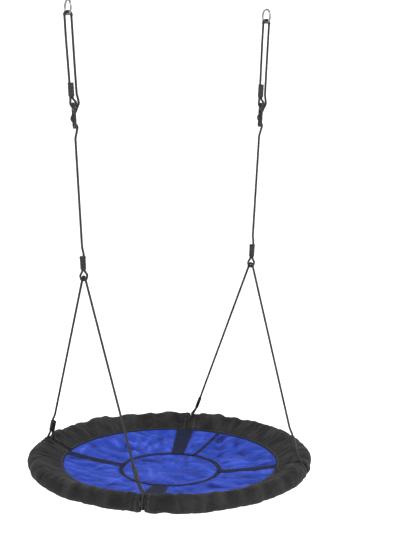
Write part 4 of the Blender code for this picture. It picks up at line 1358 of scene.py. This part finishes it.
def cover_stitches(shells, finish):
    """Hems at the covers' ends and a topstitched line beside the mat's seam, above and below."""
    section = cover_section(4 * MM)
    rows = []
    for shell, start, end in shells:
        shape = bmesh.new()
        shape.from_mesh(shell.data)
        skin = BVHTree.FromBMesh(shape)
        shape.free()
        for turn in (start, end):
            for inset in (9 * MM, 12.5 * MM):
                spot = turn + (inset if turn == start else -inset) / RING_RADIUS
                line = [skin_point(skin, spot, x, z) for x, z in section[2:-2]]
                rows.append(([point for point in line if point], False))
        spots = np.linspace(start + 14 * MM / RING_RADIUS, end - 14 * MM / RING_RADIUS, 150)
        for x, z in (section[2], section[-3]):
            line = [skin_point(skin, spot, x, z) for spot in spots]
            rows.append(([point for point in line if point], False))
    stitches("cover_stitching", rows, finish, "black_oxford_cloth")


def webbing_stitches(finish):
    """Two rows along every tape, just inside its edges."""
    rows = []
    top = WEB_CLEAR + 1.45 * MM
    along = np.linspace(WEB_RING_RADIUS + WEB_RING_WIDTH / 2 + 6 * MM, MAT_RADIUS - 4 * MM, 40)
    share = (along - WEB_RING_RADIUS) / (MAT_RADIUS - WEB_RING_RADIUS)
    for way in (-1, 1):
        radius = WEB_RING_RADIUS + way * (WEB_RING_WIDTH / 2 - 2.4 * MM)
        rows.append((circle_on_mat(radius, 360, top), True))
    for _, degrees, narrow, broad in SPOKES:
        half = (narrow + (broad - narrow) * share) / 2 - 2.2 * MM
        rows += [(line_on_mat(degrees, along, way * half, top), False) for way in (-1, 1)]
    stitches("webbing_stitching", rows, finish, "navy_webbing")


# ---------------------------------------------------------------- assembly

bpy.context.scene.view_settings.view_transform = "Standard"
camera()
stage()
ropes(rope_fibre())
hook_rings(zinc_plate())
sleeves(moulded_plastic("black_nylon_sleeve", "#151517", "#2A2A2C", 0.42, 0.8))
ferrules(moulded_plastic("black_ferrule_jacket", "#131315", "#272729", 0.40, 0.7))
adjusters(moulded_plastic("black_nylon_plate", "#171719", "#2C2C2E", 0.46, 0.9))
tube_and_foam(powder_coat(), closed_cell_foam())
black_oxford = oxford_cloth("black_oxford_cloth", "#1F1F20", "#31302F", "#121214", 34, 0.6, 0.5)
shells = []
for number, (place, start, end) in enumerate(soft_sections()):
    shell = cover(f"cover_{place}_cloth", start, end, black_oxford, 13.7 * number + 1)
    shells.append((shell, start, end))
    hand_over(shell, "seat", f"cover_{place}")
mat(oxford_cloth("blue_oxford_cloth", "#1E3897", "#3F57C0", "#0C165A", 45, 0.5, 0.7))
navy = webbing_cloth("navy_webbing", "#12162A", "#232B4A")
rope_slots(black_oxford)
webbing(navy)
seam_binding(navy)
closure_tapes(touch_fastener())
webbing_stitches(sewing_thread("navy_thread", "#1C2238"))
cover_stitches(shells, sewing_thread("charcoal_thread", "#37373A"))
for name, cad_node in frame["nodes"].items():
    for start, finish in (("ring_joiner", "grey_powder_coat"), ("ring_screw", "bright_zinc_plate")):
        if name.startswith(start):
            cad_node.data.materials.clear()
            cad_node.data.materials.append(bpy.data.materials[finish])
